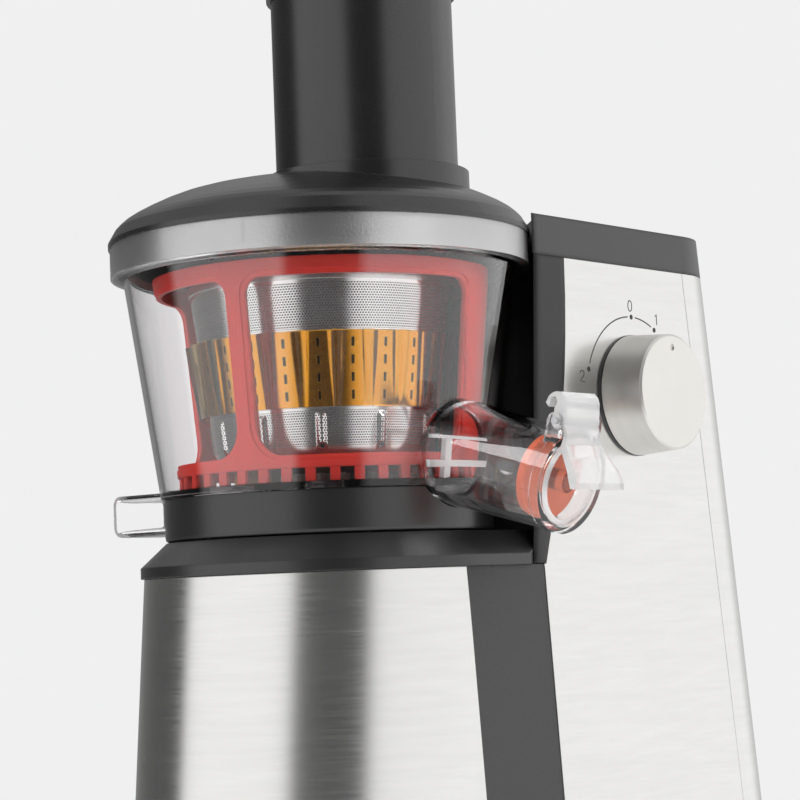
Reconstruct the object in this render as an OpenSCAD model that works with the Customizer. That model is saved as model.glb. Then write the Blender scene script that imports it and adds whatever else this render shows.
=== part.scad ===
/* [Body] */
// Half of the body's width over the side panels
body_half_w = 70; // [62:1:80]
// Height from the plinth to the lower edge of the black skirt
body_h = 161; // [140:1:190]
// Lean of the front wrap from upright, in degrees
front_lean = 5.5; // [2:0.5:8]
// Lean of the tower's back from upright, in degrees
rear_lean = 7; // [4:0.5:9]
// Lean of the black side trims, in degrees
trim_lean = 4; // [1:0.5:6]
// Width of each black side trim
trim_w = 45.2; // [38:0.2:50]
// Distance of the trim's front edge ahead of the bowl axis, at the skirt
trim_front = 5.3; // [2:0.1:9]
// Thickness of the black side trims
trim_t = 1.6; // [1:0.1:2]
// Thickness of the steel cladding
sheet_t = 1; // [0.6:0.1:1.4]
// Wall of the black housing behind the cladding
housing_wall = 2.6; // [2:0.1:4]
// Height of the rubber feet below the plinth
foot_h = 5; // [3:0.5:9]
// Diameter of the rubber feet
foot_d = 18; // [12:1:24]
// Height of the plinth
plinth_h = 7; // [5:0.5:12]
// Overhang of the plinth round the cladding
plinth_lip = 1; // [0.4:0.1:2]

/* [Tower] */
// Height of the tower from the skirt to the cap
tower_rise = 115.8; // [105:0.2:130]
// Height of the tower cap
cap_h = 15.5; // [12:0.5:20]
// Distance of the back seam behind the bowl axis, at the tower's top
tower_back = 140.5; // [125:0.5:155]
// Radius of the two back corners
back_corner_r = 32; // [28:1:36]
// Distance of the back plate behind the back seam
back_depth = 25; // [18:1:27]
// Straight part of the sides behind the back seam
back_straight = 3.9; // [0:0.1:6]
// Gap between the lid and the cradle at the tower's top
cradle_gap = 2; // [1.4:0.1:4]
// Radius of the cradle at the skirt
cradle_low_r = 77.6; // [75:0.1:81]
// Front edge of the side panels behind the bowl axis, at the top
panel_front_top = 60.5; // [56:0.5:66]
// Front edge of the side panels behind the bowl axis, at the skirt
panel_front_low = 41; // [40:0.5:46]

/* [Deck] */
// Height of the skirt's upright rim
rim_h = 4; // [2:0.5:7]
// Height of the sloping part of the skirt
slope_h = 9; // [6:0.5:12]
// Overhang of the skirt's rim past the cladding
rim_over = 1.4; // [0.5:0.1:3]
// Radius of the deck's flat top
deck_top_r = 61.5; // [58:0.5:64]
// Wall of the deck
deck_wall = 3; // [2.4:0.2:4]

/* [Bowl] */
// Height of the black collar under the bowl
collar_h = 15.9; // [12:0.1:20]
// Outer radius of the collar
collar_r = 61.8; // [59:0.1:64]
// Height of the bowl from its floor's underside to the rim band
bowl_h = 83.5; // [75:0.5:95]
// Outer radius of the bowl's wall at its floor
bowl_low_r = 63; // [61.5:0.1:65]
// Outer radius of the bowl's wall at the rim band
bowl_top_r = 74.8; // [73:0.1:76]
// Thickness of the clear wall
bowl_wall = 2.2; // [1.6:0.1:3]
// Thickness of the bowl's floor
floor_t = 2.5; // [2:0.1:4]
// Height of the frosted rim band
band_h = 11.3; // [9:0.1:14]
// Outer radius of the frosted rim band
band_r = 79.4; // [78.6:0.1:79.8]

/* [Spouts] */
// Outer radius of the juice spout
spout_r = 17.7; // [15:0.1:19]
// Growth of the spout's radius from its mouth to its root
spout_draft = 1.9; // [0:0.1:3]
// Downward slope of the juice spout, in degrees
spout_slope = 16; // [10:0.5:20]
// Distance of the spout's mouth from the bowl axis, along X
spout_reach = 113.3; // [105:0.1:120]
// Height of the spout's mouth above the bowl's floor, to its centre
spout_drop = 4.8; // [2:0.1:8]
// Thickness of the spout's wall
spout_wall = 1.8; // [1.4:0.1:2.4]
// Radius of the flange round the spout's mouth
flange_r = 18.2; // [18:0.1:21]
// Reach of the pulp outlet from the bowl axis
pulp_reach = 103.2; // [98:0.1:130]
// Width of the pulp outlet
pulp_w = 30; // [24:1:34]
// Height of the pulp outlet
pulp_h = 16.6; // [14:0.1:17]
// Reach of the cap's fishtail lip past the spout's mouth
lip_reach = 12.6; // [11:0.2:16]

/* [Lid] */
// Radius of the lid
lid_r = 80; // [79:0.1:82]
// Height of the lid's dome
dome_h = 26.7; // [22:0.1:32]
// Outer radius of the feed tube
feed_r = 34; // [30:0.5:35]
// Distance of the feed tube's axis from the bowl axis
feed_offset = 25.5; // [24:0.5:28]
// Height of the feed tube's mouth above the bowl's rim
feed_h = 95; // [80:1:110]
// Wall of the lid and its feed tube
lid_wall = 2.5; // [2:0.1:3]
// Turn between the open and the locked lid, in degrees
lid_turn = 15; // [12:1:18]

/* [Sieve and brush] */
// Gap between the brush frame and the sieve at its top
sieve_gap_top = 10.3; // [9:0.1:12]
// Gap between the brush frame and the sieve at its foot
sieve_gap_low = 12; // [10.5:0.1:13]
// Thickness of the sieve's perforated steel
mesh_t = 0.6; // [0.4:0.1:0.8]
// Height of the amber band
amber_h = 27.3; // [20:0.1:32]
// Gap between the bowl's wall and the brush frame at its top
brush_gap_top = 8.8; // [7:0.1:10]
// Gap between the bowl's wall and the brush frame at its comb
brush_gap_low = 4.3; // [3.6:0.1:4.8]
// Thickness of the brush frame
brush_t = 3.2; // [2.6:0.1:3.6]
// Width of the two narrow posts of the brush frame, in degrees
post_turn = 7.3; // [7:0.1:16]
// Width of the two wide posts of the brush frame, in degrees
wide_post_turn = 38; // [16:1:44]
// Turn from the first narrow post to each of the two wide posts, in degrees
wide_post_off = 107; // [90:1:115]
// Height of the comb teeth
comb_h = 4.9; // [4:0.1:5.5]

/* [Knob] */
// Radius of the knob at the panel
knob_r = 23.6; // [20:0.1:26]
// Radius of the knob's face
knob_face_r = 22.2; // [18:0.1:23]
// Depth of the knob
knob_depth = 18.8; // [14:0.1:24]
// Distance of the knob behind the bowl axis
knob_y = 103.1; // [96:0.1:112]
// Height of the knob's centre under the tower cap
knob_drop = 51; // [46:0.5:60]

/* [Drive] */
// Width over flats of the hexagonal drive shaft
hex_w = 11; // [9:0.5:12]
// Outer radius of the motor's case
motor_r = 46; // [40:1:50]
// Height of the motor's case
motor_h = 68; // [60:1:72]
// Radius of the motor shaft
motor_shaft_r = 4; // [3:0.5:5]
// Distance between the gear shafts
gear_offset = 36; // [36:1:36]

/* [Hidden] */

$fn = 96;
eps = 0.01;       // overlap of cutting solids
fit = 0.05;       // radial clearance of a shaft in its bore
play = 0.3;       // clearance of pieces that pass each other
seam = 0.2;       // gap of a cladding seam

steel = [0.80, 0.80, 0.79];
black = [0.16, 0.16, 0.17];
clear = [0.85, 0.89, 0.92, 0.35];
red = [0.80, 0.18, 0.16];
orange = [0.90, 0.36, 0.18];
amber = [0.96, 0.62, 0.15, 0.8];

// Heights of the stack
plinth_z = foot_h;
clad_z = plinth_z + plinth_h;
skirt_z = clad_z + body_h;
deck_z = skirt_z + rim_h + slope_h;
tower_z = skirt_z + tower_rise;
collar_z = deck_z + play;
bowl_z = collar_z + collar_h;
floor_z = bowl_z + floor_t;
band_z = bowl_z + bowl_h;
lid_z = band_z + band_h;
feed_top = lid_z + feed_h;

// Plan of the body
function front_y(z) = -tan(front_lean)*(skirt_z - z);
function seam_y(z) = tower_back + tan(rear_lean)*(tower_z - z);
function trim_y(z) = -trim_front + tan(trim_lean)*(skirt_z - z);
cradle_top_r = lid_r + cradle_gap;
cap_top = tower_z + cap_h;
function cradle_r(z) = cradle_low_r + (cradle_top_r - cradle_low_r)*(z - skirt_z)/(cap_top - skirt_z);
function panel_front(z) = panel_front_top
    - (panel_front_top - panel_front_low)*pow((tower_z - z)/tower_rise, 2);
inner_x = body_half_w - sheet_t - housing_wall;
long = 600;       // longer than any part of the body

// Centre of the base, which is the origin of the part
spout_mouth = [spout_reach, 0, floor_z - spout_drop];
lip_z = 0.4;
lip_x = spout_reach + lip_reach*cos(spout_slope) + lip_z*sin(spout_slope);
centre_x = (lip_x - pulp_reach)/2;
plinth_front = -body_half_w - plinth_lip + front_y(clad_z);
plinth_back = seam_y(clad_z) + back_depth + plinth_lip;
centre_y = (plinth_front + plinth_back)/2;
module placed() { translate([-centre_x, -centre_y, 0]) children(); }

// ---- shapes of the body ----

module slab(z0, z1) { translate([-long/2, -long/2, z0]) cube([long, long, z1 - z0]); }

// Round front with straight sides, drawn back from the front arc's centre
module front_plan(inset) {
    r = body_half_w - inset;
    circle(r);
    translate([-r, 0]) square([2*r, long/2]);
}

module front_form(inset) {
    translate([0, 0, skirt_z]) rotate([-front_lean, 0, 0]) translate([0, 0, -long/2])
        linear_extrude(long) front_plan(inset);
}

// Back of the tower, drawn forward from the seam at local y = 0
module rear_plan(inset) {
    r = back_corner_r - inset;
    x = body_half_w - back_corner_r;
    difference() {
        union() {
            for (s = [-1, 1]) translate([s*x, back_straight]) circle(r);
            translate([-x, 0]) square([2*x, r + back_straight]);
            translate([-body_half_w + inset, -long/2])
                square([2*(body_half_w - inset), long/2 + back_straight]);
        }
        translate([-long/2, back_depth - inset]) square([long, long]);
    }
}

module rear_form(inset) {
    translate([0, tower_back, tower_z]) rotate([rear_lean, 0, 0]) translate([0, 0, -long/2])
        linear_extrude(long) rear_plan(inset);
}

// The hollow in front of the tower that follows the bowl
module cradle_form(grow) {
    z0 = skirt_z - 40;
    z1 = cap_top + 40;
    translate([0, 0, z0]) cylinder(h = z1 - z0, r1 = cradle_r(z0) + grow, r2 = cradle_r(z1) + grow);
}

module lower_form(inset, z0, z1) {
    intersection() {
        front_form(inset);
        rear_form(inset);
        slab(z0, z1);
    }
}

module tower_form(inset, grow, z0, z1) {
    difference() {
        intersection() {
            rear_form(inset);
            slab(z0, z1);
            translate([-long/2, 0, 0]) cube([long, long, long]);
        }
        cradle_form(grow);
    }
}

// Outline of the black pillar ahead of a side panel, in Y and Z
function pillar_edge(steps) = [for (i = [0:steps])
    let (z = skirt_z + (tower_z - skirt_z)*i/steps) [panel_front(z), z]];

module pillar_form() {
    rotate([90, 0, 90]) translate([0, 0, -body_half_w]) linear_extrude(2*body_half_w)
        polygon(concat([[0, tower_z], [0, skirt_z]], pillar_edge(8)));
}

module ring(h, r, bore) {
    difference() {
        cylinder(h = h, r = r);
        translate([0, 0, -1]) cylinder(h = h + 2, r = bore);
    }
}

// Slice of a pie between two angles, and a piece of a ring between them
module wedge(from, to) {
    polygon(concat([[0, 0]], [for (i = [0:3]) let (a = from + (to - from)*i/3) 120*[cos(a), sin(a)]]));
}

module arc(h, r, bore, from, to) {
    intersection() {
        ring(h, r, bore);
        linear_extrude(h) wedge(from, to);
    }
}

// ---- gears ----

function flank_turn(rb, r) = let (q = sqrt(max(0, pow(r/rb, 2) - 1))) q*180/PI - atan(q);
function tooth_half(n, m, thin, r) = let (rp = n*m/2, rb = rp*cos(20))
    90/n - thin/rp*90/PI + flank_turn(rb, rp) - flank_turn(rb, max(r, rb));
function tooth_radii(n, m, tip) = let (rp = n*m/2, r0 = rp - 1.25*m, r1 = rp + tip*m)
    [for (i = [0:4]) r0 + (r1 - r0)*i/4];
function gear_points(n, m, thin, tip) = let (rs = tooth_radii(n, m, tip))
    [for (k = [0:n - 1], side = [-1, 1], i = [0:4])
        let (r = rs[side < 0 ? i : 4 - i], a = 360*k/n + side*tooth_half(n, m, thin, r))
        r*[cos(a), sin(a)]];

// Spur gear with n teeth of module m; thin is what its teeth lose at the pitch circle
module spur(n, m, h, bore_r, thin = 0.16, tip = 0.95) {
    linear_extrude(h) difference() {
        polygon(gear_points(n, m, thin, tip));
        circle(bore_r);
    }
}

// ---- base and cladding ----

module plinth_plan(grow) {
    y0 = front_y(clad_z);
    y1 = seam_y(clad_z);
    w = body_half_w + grow;
    x = body_half_w - back_corner_r;
    r = back_corner_r + grow;
    difference() {
        union() {
            translate([0, y0]) circle(w);
            translate([-w, y0]) square([2*w, y1 - y0 + back_straight]);
            for (s = [-1, 1]) translate([s*x, y1 + back_straight]) circle(r);
            translate([-x, y1]) square([2*x, r + back_straight]);
        }
        translate([-long/2, y1 + back_depth + grow]) square([long, long]);
    }
}

screw_x = body_half_w - 12;
base_floor_z = plinth_z + 4;
boss_h = 18;
trim_sink = 0.3;
trim_x = body_half_w - trim_sink - trim_t;
foot_spots = [for (s = [-1, 1], y = [front_y(clad_z) - 20, seam_y(clad_z) - 8]) [s*46, y]];
screw_spots = [for (s = [-1, 1], y = [front_y(clad_z) + 18, seam_y(clad_z) - 32]) [s*screw_x, y]];
post_h = 21;               // posts that carry the motor
motor_z = base_floor_z + post_h;
motor_stand_r = motor_r + 5;
screw_r = 1.8;
ear_t = 3;

module base_plate() {
    color(black) placed() {
        difference() {
            translate([0, 0, plinth_z]) linear_extrude(plinth_h) plinth_plan(plinth_lip);
            translate([0, 0, base_floor_z]) linear_extrude(plinth_h)
                plinth_plan(-sheet_t - housing_wall - 1);
            for (p = foot_spots) translate([p[0], p[1], plinth_z - eps])
                cylinder(h = 1.5, r = foot_d/2 + fit);
            for (p = screw_spots) translate([p[0], p[1], plinth_z - eps]) cylinder(h = 5, r = screw_r + fit);
            for (x = [-20:8:20]) translate([x - 2, front_y(clad_z) - 12, plinth_z - eps]) cube([4, 26, 5]);
        }
        // posts and pegs that carry the motor
        for (a = [45:90:315]) rotate(a) translate([motor_stand_r, 0, base_floor_z - eps]) {
            cylinder(h = post_h + eps, r = 4, $fn = 32);
            cylinder(h = post_h + ear_t + 1, r = screw_r - fit, $fn = 32);
        }
    }
}

module rubber_feet() {
    color([0.12, 0.12, 0.12]) placed() for (p = foot_spots) translate([p[0], p[1], 0]) {
        cylinder(h = 1.2, r1 = foot_d/2 - 1.2, r2 = foot_d/2);
        translate([0, 0, 1.2 - eps]) cylinder(h = foot_h + 0.2, r = foot_d/2);
    }
}

module base_screws() {
    color([0.6, 0.6, 0.62]) placed() for (p = screw_spots) translate([p[0], p[1], plinth_z - 1.2]) {
        cylinder(h = 1.2, r = 3.4, $fn = 32);
        cylinder(h = base_floor_z - plinth_z + boss_h - 4, r = screw_r, $fn = 32);
    }
}

knob_z = tower_z - knob_drop;
switch_r = 3;
board_z = clad_z + 60;
board_y = tower_back - 30;
board_size = [1.6, 60, 80];
board_gap = 5;
board_holes = [for (dy = [-25, 25], dz = [6, 74]) [dy, dz]];

module switch_hole() {
    translate([0, knob_y, knob_z]) rotate([0, 90, 0]) cylinder(h = long, r = 5);
}

module gland_frame() {
    translate([0, tower_back, tower_z]) rotate([rear_lean, 0, 0])
        translate([back_corner_r + 4 - body_half_w, back_depth, -(tower_z - clad_z)/cos(rear_lean) + 30])
            rotate([-90, 0, 0]) children();
}

module housing() {
    in = sheet_t + seam/2;
    color(black) placed() {
        difference() {
            union() {
                lower_form(in, clad_z, skirt_z);
                tower_form(in, 0, skirt_z - eps, tower_z);
                difference() {
                    pillar_form();
                    cradle_form(0);
                }
            }
            lower_form(sheet_t + housing_wall, clad_z - 1, skirt_z);
            tower_form(sheet_t + housing_wall, housing_wall, skirt_z - eps, tower_z + 1);
            for (s = [0, 1]) mirror([s, 0, 0]) intersection() {
                translate([trim_x, -long/2, clad_z - 1]) cube([sheet_t + trim_t, long, long]);
                trim_plan_form(-play);
            }
            switch_hole();
            gland_frame() cylinder(h = 40, r = 8, center = true, $fn = 48);
        }
        for (h = board_holes) translate([-inner_x - 1, board_y + h[0], board_z + h[1]])
            rotate([0, 90, 0]) cylinder(h = board_gap + 1, r = 3, $fn = 32);
        for (p = screw_spots) translate([p[0], p[1], base_floor_z]) {
            difference() {
                cylinder(h = boss_h, r = 5, $fn = 32);
                translate([0, 0, -eps]) cylinder(h = boss_h - 3, r = screw_r + fit, $fn = 32);
            }
            mirror([p[0] > 0 ? 0 : 1, 0, 0]) translate([4, -2, clad_z - base_floor_z])
                cube([inner_x - screw_x - 3, 4, boss_h - clad_z + base_floor_z]);
        }
    }
}

// Slanted band of a side trim, with its edges moved out by grow, in Y and Z
module trim_plan_form(inset) {
    z0 = clad_z + min(0, 6*inset);
    z1 = skirt_z - min(0, inset);
    rotate([90, 0, 90]) translate([0, 0, -long/2]) linear_extrude(long) polygon([
        [trim_y(z0) + inset, z0], [trim_y(z0) + trim_w - inset, z0],
        [trim_y(z1) + trim_w - inset, z1], [trim_y(z1) + inset, z1]]);
}

module side_trims() {
    color(black) placed() for (s = [0, 1]) mirror([s, 0, 0]) intersection() {
        translate([trim_x, -long/2, clad_z]) cube([trim_t, long, body_h]);
        trim_plan_form(0);
    }
}

module front_wrap() {
    color(steel) placed() intersection() {
        difference() {
            lower_form(0, clad_z, skirt_z - seam);
            lower_form(sheet_t, clad_z - 1, skirt_z);
        }
        rotate([90, 0, 90]) translate([0, 0, -long/2]) linear_extrude(long) polygon([
            [-long, clad_z], [trim_y(clad_z) - seam, clad_z], [trim_y(skirt_z) - seam, skirt_z],
            [-long, skirt_z]]);
    }
}

// Outline of a side panel in Y and Z
function panel_outline() = concat(
    [for (p = pillar_edge(8)) p + [seam, 0]],
    [[seam_y(tower_z) - seam, tower_z], [seam_y(clad_z) - seam, clad_z],
     [trim_y(clad_z) + trim_w + seam, clad_z], [trim_y(skirt_z) + trim_w + seam, skirt_z]]);

module side_panel() {
    difference() {
        rotate([90, 0, 90]) translate([0, 0, body_half_w - sheet_t]) linear_extrude(sheet_t)
            polygon(panel_outline());
        switch_hole();
    }
}

module side_panel_right() { color(steel) placed() side_panel(); }

module side_panel_left() {
    color(steel) placed() mirror([1, 0, 0]) rotate([90, 0, 90])
        translate([0, 0, body_half_w - sheet_t]) linear_extrude(sheet_t) polygon(panel_outline());
}

wrap_gap = 5;         // black strip between the rear wrap and the back plate, in depth

module rear_wrap() {
    color(steel) placed() intersection() {
        slab(clad_z, tower_z);
        translate([0, tower_back, tower_z]) rotate([rear_lean, 0, 0]) translate([0, 0, -long/2])
            linear_extrude(long) difference() {
                intersection() {
                    difference() { rear_plan(0); rear_plan(sheet_t); }
                    translate([-long/2, 0]) square([long, back_depth - wrap_gap]);
                }
                translate([-body_half_w + back_corner_r, 0]) square([2*(body_half_w - back_corner_r), long]);
            }
    }
}

back_plate_w = 2*(body_half_w - back_corner_r)
    + 2*sqrt(pow(back_corner_r, 2) - pow(back_depth - back_straight, 2));

module back_plate() {
    h = (tower_z - clad_z)/cos(rear_lean);
    color(black) placed() difference() {
        intersection() {
            slab(clad_z, tower_z);
            translate([0, tower_back, tower_z]) rotate([rear_lean, 0, 0])
                translate([-back_plate_w/2, back_depth - sheet_t, -long/2])
                cube([back_plate_w, sheet_t, long]);
        }
        for (i = [0:9]) translate([0, tower_back, tower_z]) rotate([rear_lean, 0, 0])
            translate([-30, back_depth - 5, -h + 70 + 7*i]) cube([60, 10, 3]);
        gland_frame() cylinder(h = 40, r = 6 + fit, center = true, $fn = 48);
    }
}

gland_r = 6;
cord_r = 3.6;

module cord_gland() {
    color([0.1, 0.1, 0.1]) placed() gland_frame() difference() {
        union() {
            translate([0, 0, -8]) cylinder(h = 11.5, r = gland_r, $fn = 48);
            translate([0, 0, 0.1]) cylinder(h = 2, r = gland_r + 3, $fn = 48);
            translate([0, 0, -8]) cylinder(h = 2, r = gland_r + 1.8, $fn = 48);
        }
        translate([0, 0, -10]) cylinder(h = 30, r = cord_r, $fn = 48);
    }
}

module cap_form(inset, grow, z0, z1) {
    difference() {
        intersection() {
            rear_form(inset);
            slab(z0, z1);
            translate([-long/2, 0, 0]) cube([long, long, long]);
        }
        cylinder(h = long, r = cradle_top_r + grow);
    }
}

cap_roof = 2.8;

module tower_cap() {
    color(black) placed() difference() {
        cap_form(0, -0.8, tower_z + seam, cap_top);
        cap_form(housing_wall + 0.8, housing_wall, tower_z - 1, cap_top - cap_roof);
    }
}

// ---- deck ----

rim_r = body_half_w + rim_over;
deck_plate_z = deck_z - deck_wall;
seal_r = 11;

module skirt_form(inset, z0, z1) {
    r0 = rim_r - inset;
    r1 = deck_top_r - inset;
    zs = skirt_z + rim_h;
    x = [[r0, z0], [r0, zs], [r1, z1], [0, z1], [0, z0]];
    rotate_extrude() polygon(x);
    rotate([90, 0, 180]) linear_extrude(long/4)
        polygon([[-r0, z0], [-r0, zs], [-r1, z1], [r1, z1], [r0, zs], [r0, z0]]);
}

module deck() {
    color(black) placed() {
        difference() {
            intersection() {
                skirt_form(0, skirt_z, deck_z);
                cradle_form(-play);
            }
            intersection() {
                skirt_form(deck_wall, skirt_z - 1, deck_z - deck_wall);
                cradle_form(-play - deck_wall);
            }
            translate([0, 0, deck_plate_z - 1]) cylinder(h = 10, r = seal_r);
        }
        // ring that centres the bowl's chimney
        translate([0, 0, deck_z - eps]) ring(7, ring_r + 3, ring_r);
        // sleeve that rests on the gearbox cover
        translate([0, 0, cover_z + cover_t]) ring(deck_plate_z - cover_z - cover_t + eps, 24, 21);
    }
}

// ---- drive ----

case_t = 1.5;
motor_top = motor_z + motor_h;
gear_z = motor_top + 6;
bearing_h = 7;
stator_r = motor_r - case_t - 0.3;
rotor_r = 26;
rotor_gap = 0.6;

module motor_case() {
    color([0.55, 0.56, 0.58]) placed() translate([0, 0, motor_z]) {
        difference() {
            cylinder(h = motor_h, r = motor_r);
            translate([0, 0, 3]) cylinder(h = motor_h - 6, r = motor_r - case_t);
            translate([0, 0, -1]) cylinder(h = motor_h + 2, r = 11 + fit);
            for (a = [0:45:315], z = [8, motor_h - 14]) rotate(a + 22.5)
                translate([motor_r - 5, -6, z]) cube([10, 12, 6]);
        }
        for (a = [45:90:315]) rotate(a) difference() {
            translate([motor_r - 1, -4, 0]) cube([10, 8, ear_t]);
            translate([motor_stand_r, 0, -1]) cylinder(h = ear_t + 2, r = screw_r, $fn = 32);
        }
    }
}

module motor_stator() {
    color([0.72, 0.38, 0.16]) placed() translate([0, 0, motor_z + 3 + bearing_h + 4]) difference() {
        union() {
            translate([0, 0, 6]) cylinder(h = 30, r = stator_r);
            cylinder(h = 42, r = stator_r - 7);
        }
        translate([0, 0, -1]) cylinder(h = 50, r = rotor_r + rotor_gap);
    }
}

module motor_rotor() {
    color([0.62, 0.63, 0.65]) placed() {
        translate([0, 0, motor_z + 20]) cylinder(h = 30, r = rotor_r);
        translate([0, 0, plinth_z + 9]) cylinder(h = gear_z + 9 - plinth_z - 9, r = motor_shaft_r, $fn = 48);
    }
}

module motor_bearings() {
    color([0.7, 0.7, 0.72]) placed() for (z = [motor_z + eps, motor_top - bearing_h])
        translate([0, 0, z]) ring(bearing_h, 11, motor_shaft_r + fit);
}

fan_r = 40;

module cooling_fan() {
    color([0.9, 0.9, 0.86]) placed() translate([0, 0, plinth_z + 11]) {
        ring(12, 9, motor_shaft_r + fit);
        ring(1.6, fan_r, 8.5);
        for (a = [0:30:330]) rotate(a) translate([14, -0.8, 1.6 - eps]) cube([fan_r - 15, 1.6, 8]);
    }
}

// Two stages on two shafts: 12 on 60 teeth, then 12 on 48
stage_teeth = [12, 60, 12, 48];
m_first = 2*gear_offset/(stage_teeth[0] + stage_teeth[1]);
m_second = 2*gear_offset/(stage_teeth[2] + stage_teeth[3]);
box_wall = 3;
box_r = stage_teeth[3]*m_second/2 + m_second + 2;
box_r2 = stage_teeth[1]*m_first/2 + m_first + 2;
cover_z = gear_z + 28;
cover_t = 4;
pin_r = 4;
out_shaft_r = 6;
bearing_r = 13;

module box_plan(grow) {
    circle(box_r + grow);
    translate([0, gear_offset]) circle(box_r2 + grow);
    translate([-box_r - grow, 0]) square([2*(box_r + grow), gear_offset]);
}

box_screws = [for (s = [-1, 1]) for (p = [[box_r + 5, -6], [box_r2 + 5, gear_offset + 8]]) [s*p[0], p[1]]];

module box_ears(h) {
    for (p = box_screws) translate([p[0], p[1], 0]) {
        cylinder(h = h, r = 5, $fn = 32);
        translate([p[0] > 0 ? -8 : 0, -5, 0]) cube([8, 10, h]);
    }
}

module gearbox_housing() {
    color([0.75, 0.75, 0.78]) placed() translate([0, 0, motor_top]) difference() {
        union() {
            linear_extrude(cover_z - motor_top) box_plan(box_wall);
            box_ears(cover_z - motor_top);
        }
        translate([0, 0, 4]) linear_extrude(60) box_plan(0);
        translate([0, 0, -1]) cylinder(h = 10, r = 9);
        translate([0, gear_offset, 1]) cylinder(h = 10, r = pin_r + fit, $fn = 48);
        for (p = box_screws) translate([p[0], p[1], 12]) cylinder(h = 60, r = screw_r + fit, $fn = 32);
    }
}

module gearbox_cover() {
    color([0.70, 0.70, 0.73]) placed() translate([0, 0, cover_z]) difference() {
        union() {
            linear_extrude(cover_t) box_plan(box_wall);
            box_ears(cover_t);
            cylinder(h = 14, r = 17);
        }
        translate([0, 0, -1]) cylinder(h = 20, r = bearing_r + fit/2);
        translate([0, gear_offset, -1]) cylinder(h = 4, r = pin_r + fit, $fn = 48);
        for (p = box_screws) translate([p[0], p[1], -1]) cylinder(h = 60, r = screw_r + fit, $fn = 32);
    }
}

module gearbox_screws() {
    color([0.6, 0.6, 0.62]) placed() for (p = box_screws) translate([p[0], p[1], 0]) {
        translate([0, 0, cover_z + cover_t]) cylinder(h = 3, r = 3.4, $fn = 32);
        translate([0, 0, cover_z - 12]) cylinder(h = 12 + cover_t + eps, r = screw_r, $fn = 32);
    }
}

module motor_pinion() {
    color([0.8, 0.8, 0.8]) placed() translate([0, 0, gear_z - 1])
        spur(stage_teeth[0], m_first, 10, motor_shaft_r + fit, 0.16, 0.9);
}

module reduction_gear() {
    color([0.93, 0.93, 0.9]) placed() translate([0, gear_offset, gear_z]) {
        rotate(3) spur(stage_teeth[1], m_first, 8, pin_r + fit, 0.16, 0.9);
        spur(stage_teeth[2], m_second, 22, pin_r + fit, 0.2, 0.9);
    }
}

module gear_pin() {
    color([0.6, 0.6, 0.62]) placed() translate([0, gear_offset, motor_top + 1 + eps])
        cylinder(h = cover_z + 2.5 - motor_top - 1, r = pin_r, $fn = 48);
}

module output_gear() {
    color([0.93, 0.93, 0.9]) placed() translate([0, 0, gear_z + 10.5]) {
        rotate(90 + 180/stage_teeth[3]) spur(stage_teeth[3], m_second, 10.5, out_shaft_r + fit, 0.2, 0.9);
        translate([0, 0, 10.4]) ring(4, 9, out_shaft_r + fit);
    }
}

hex_top = floor_z + 32;
hex_z = cover_z + 16;
sleeve_r = hex_w/2/cos(30) + 0.4;

module drive_shaft() {
    color([0.8, 0.8, 0.82]) placed() {
        translate([0, 0, gear_z + 10.5]) cylinder(h = hex_z - gear_z - 10.5 + eps, r = out_shaft_r);
        translate([0, 0, hex_z]) cylinder(h = hex_top - hex_z, r = hex_w/2/cos(30), $fn = 6);
        translate([0, 0, hex_z]) cylinder(h = deck_z + 3 - hex_z, r = sleeve_r);
    }
}

module shaft_bearings() {
    color([0.7, 0.7, 0.72]) placed() translate([0, 0, cover_z + 0.5]) ring(13, bearing_r, out_shaft_r + fit);
}

module shaft_seal() {
    color([0.1, 0.1, 0.1]) placed() translate([0, 0, deck_plate_z])
        ring(deck_wall + 1, seal_r - fit/2, sleeve_r + fit);
}

// ---- knob and electrics ----

panel_frame = [body_half_w, knob_y, knob_z];

module on_panel() { translate(panel_frame) rotate([0, 90, 0]) children(); }

ring_t = 0.8;

module knob() {
    color(steel) placed() on_panel() difference() {
        knob_body();
        translate([5 - knob_face_r, 0, knob_depth - 0.6]) cylinder(h = 1, r = 1.3, $fn = 32);
    }
}

module knob_body() {
    rotate_extrude() polygon([
        [switch_r + fit, 3], [8, 3], [8, knob_depth - 3], [knob_face_r - 2.6, knob_depth - 3],
        [knob_r - 2.4, 1.2], [knob_r, 1.2], [knob_face_r + 0.2, knob_depth - 0.8],
        [knob_face_r - 0.6, knob_depth],
        [0, knob_depth], [0, knob_depth - 4], [switch_r + fit, knob_depth - 4]]);
}

module knob_ring() {
    color(black) placed() on_panel() ring(ring_t, knob_r + 0.15, 9);
}

module rotary_switch() {
    color([0.85, 0.84, 0.8]) placed() difference() {
        union() {
            translate([inner_x - 24, knob_y - 16, knob_z - 16]) cube([24, 32, 32]);
            translate([inner_x - 1, knob_y, knob_z]) rotate([0, 90, 0])
                cylinder(h = sheet_t + housing_wall + 1, r = 5 - fit);
        }
        translate([inner_x - 18, knob_y, knob_z]) rotate([0, 90, 0]) cylinder(h = 60, r = switch_r + fit);
    }
}

module switch_shaft() {
    color([0.7, 0.7, 0.72]) placed() translate([inner_x - 17, knob_y, knob_z]) rotate([0, 90, 0])
        cylinder(h = body_half_w + knob_depth - 4.5 - inner_x + 17, r = switch_r, $fn = 48);
}

module control_board() {
    x0 = -inner_x + board_gap;
    color([0.12, 0.45, 0.22]) placed() {
        translate([x0, board_y - board_size[1]/2, board_z]) cube(board_size);
        translate([x0 + 1.5, board_y - 8, board_z + 12]) cube([18, 18, 24]);
        translate([x0 + 1.5, board_y + 16, board_z + 22]) rotate([0, 90, 0]) cylinder(h = 24, r = 8);
        translate([x0 + 1.5, board_y - 22, board_z + 50]) cube([12, 36, 14]);
    }
}

magnet_turn = 90;
magnet_z = lid_z - 6;

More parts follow.
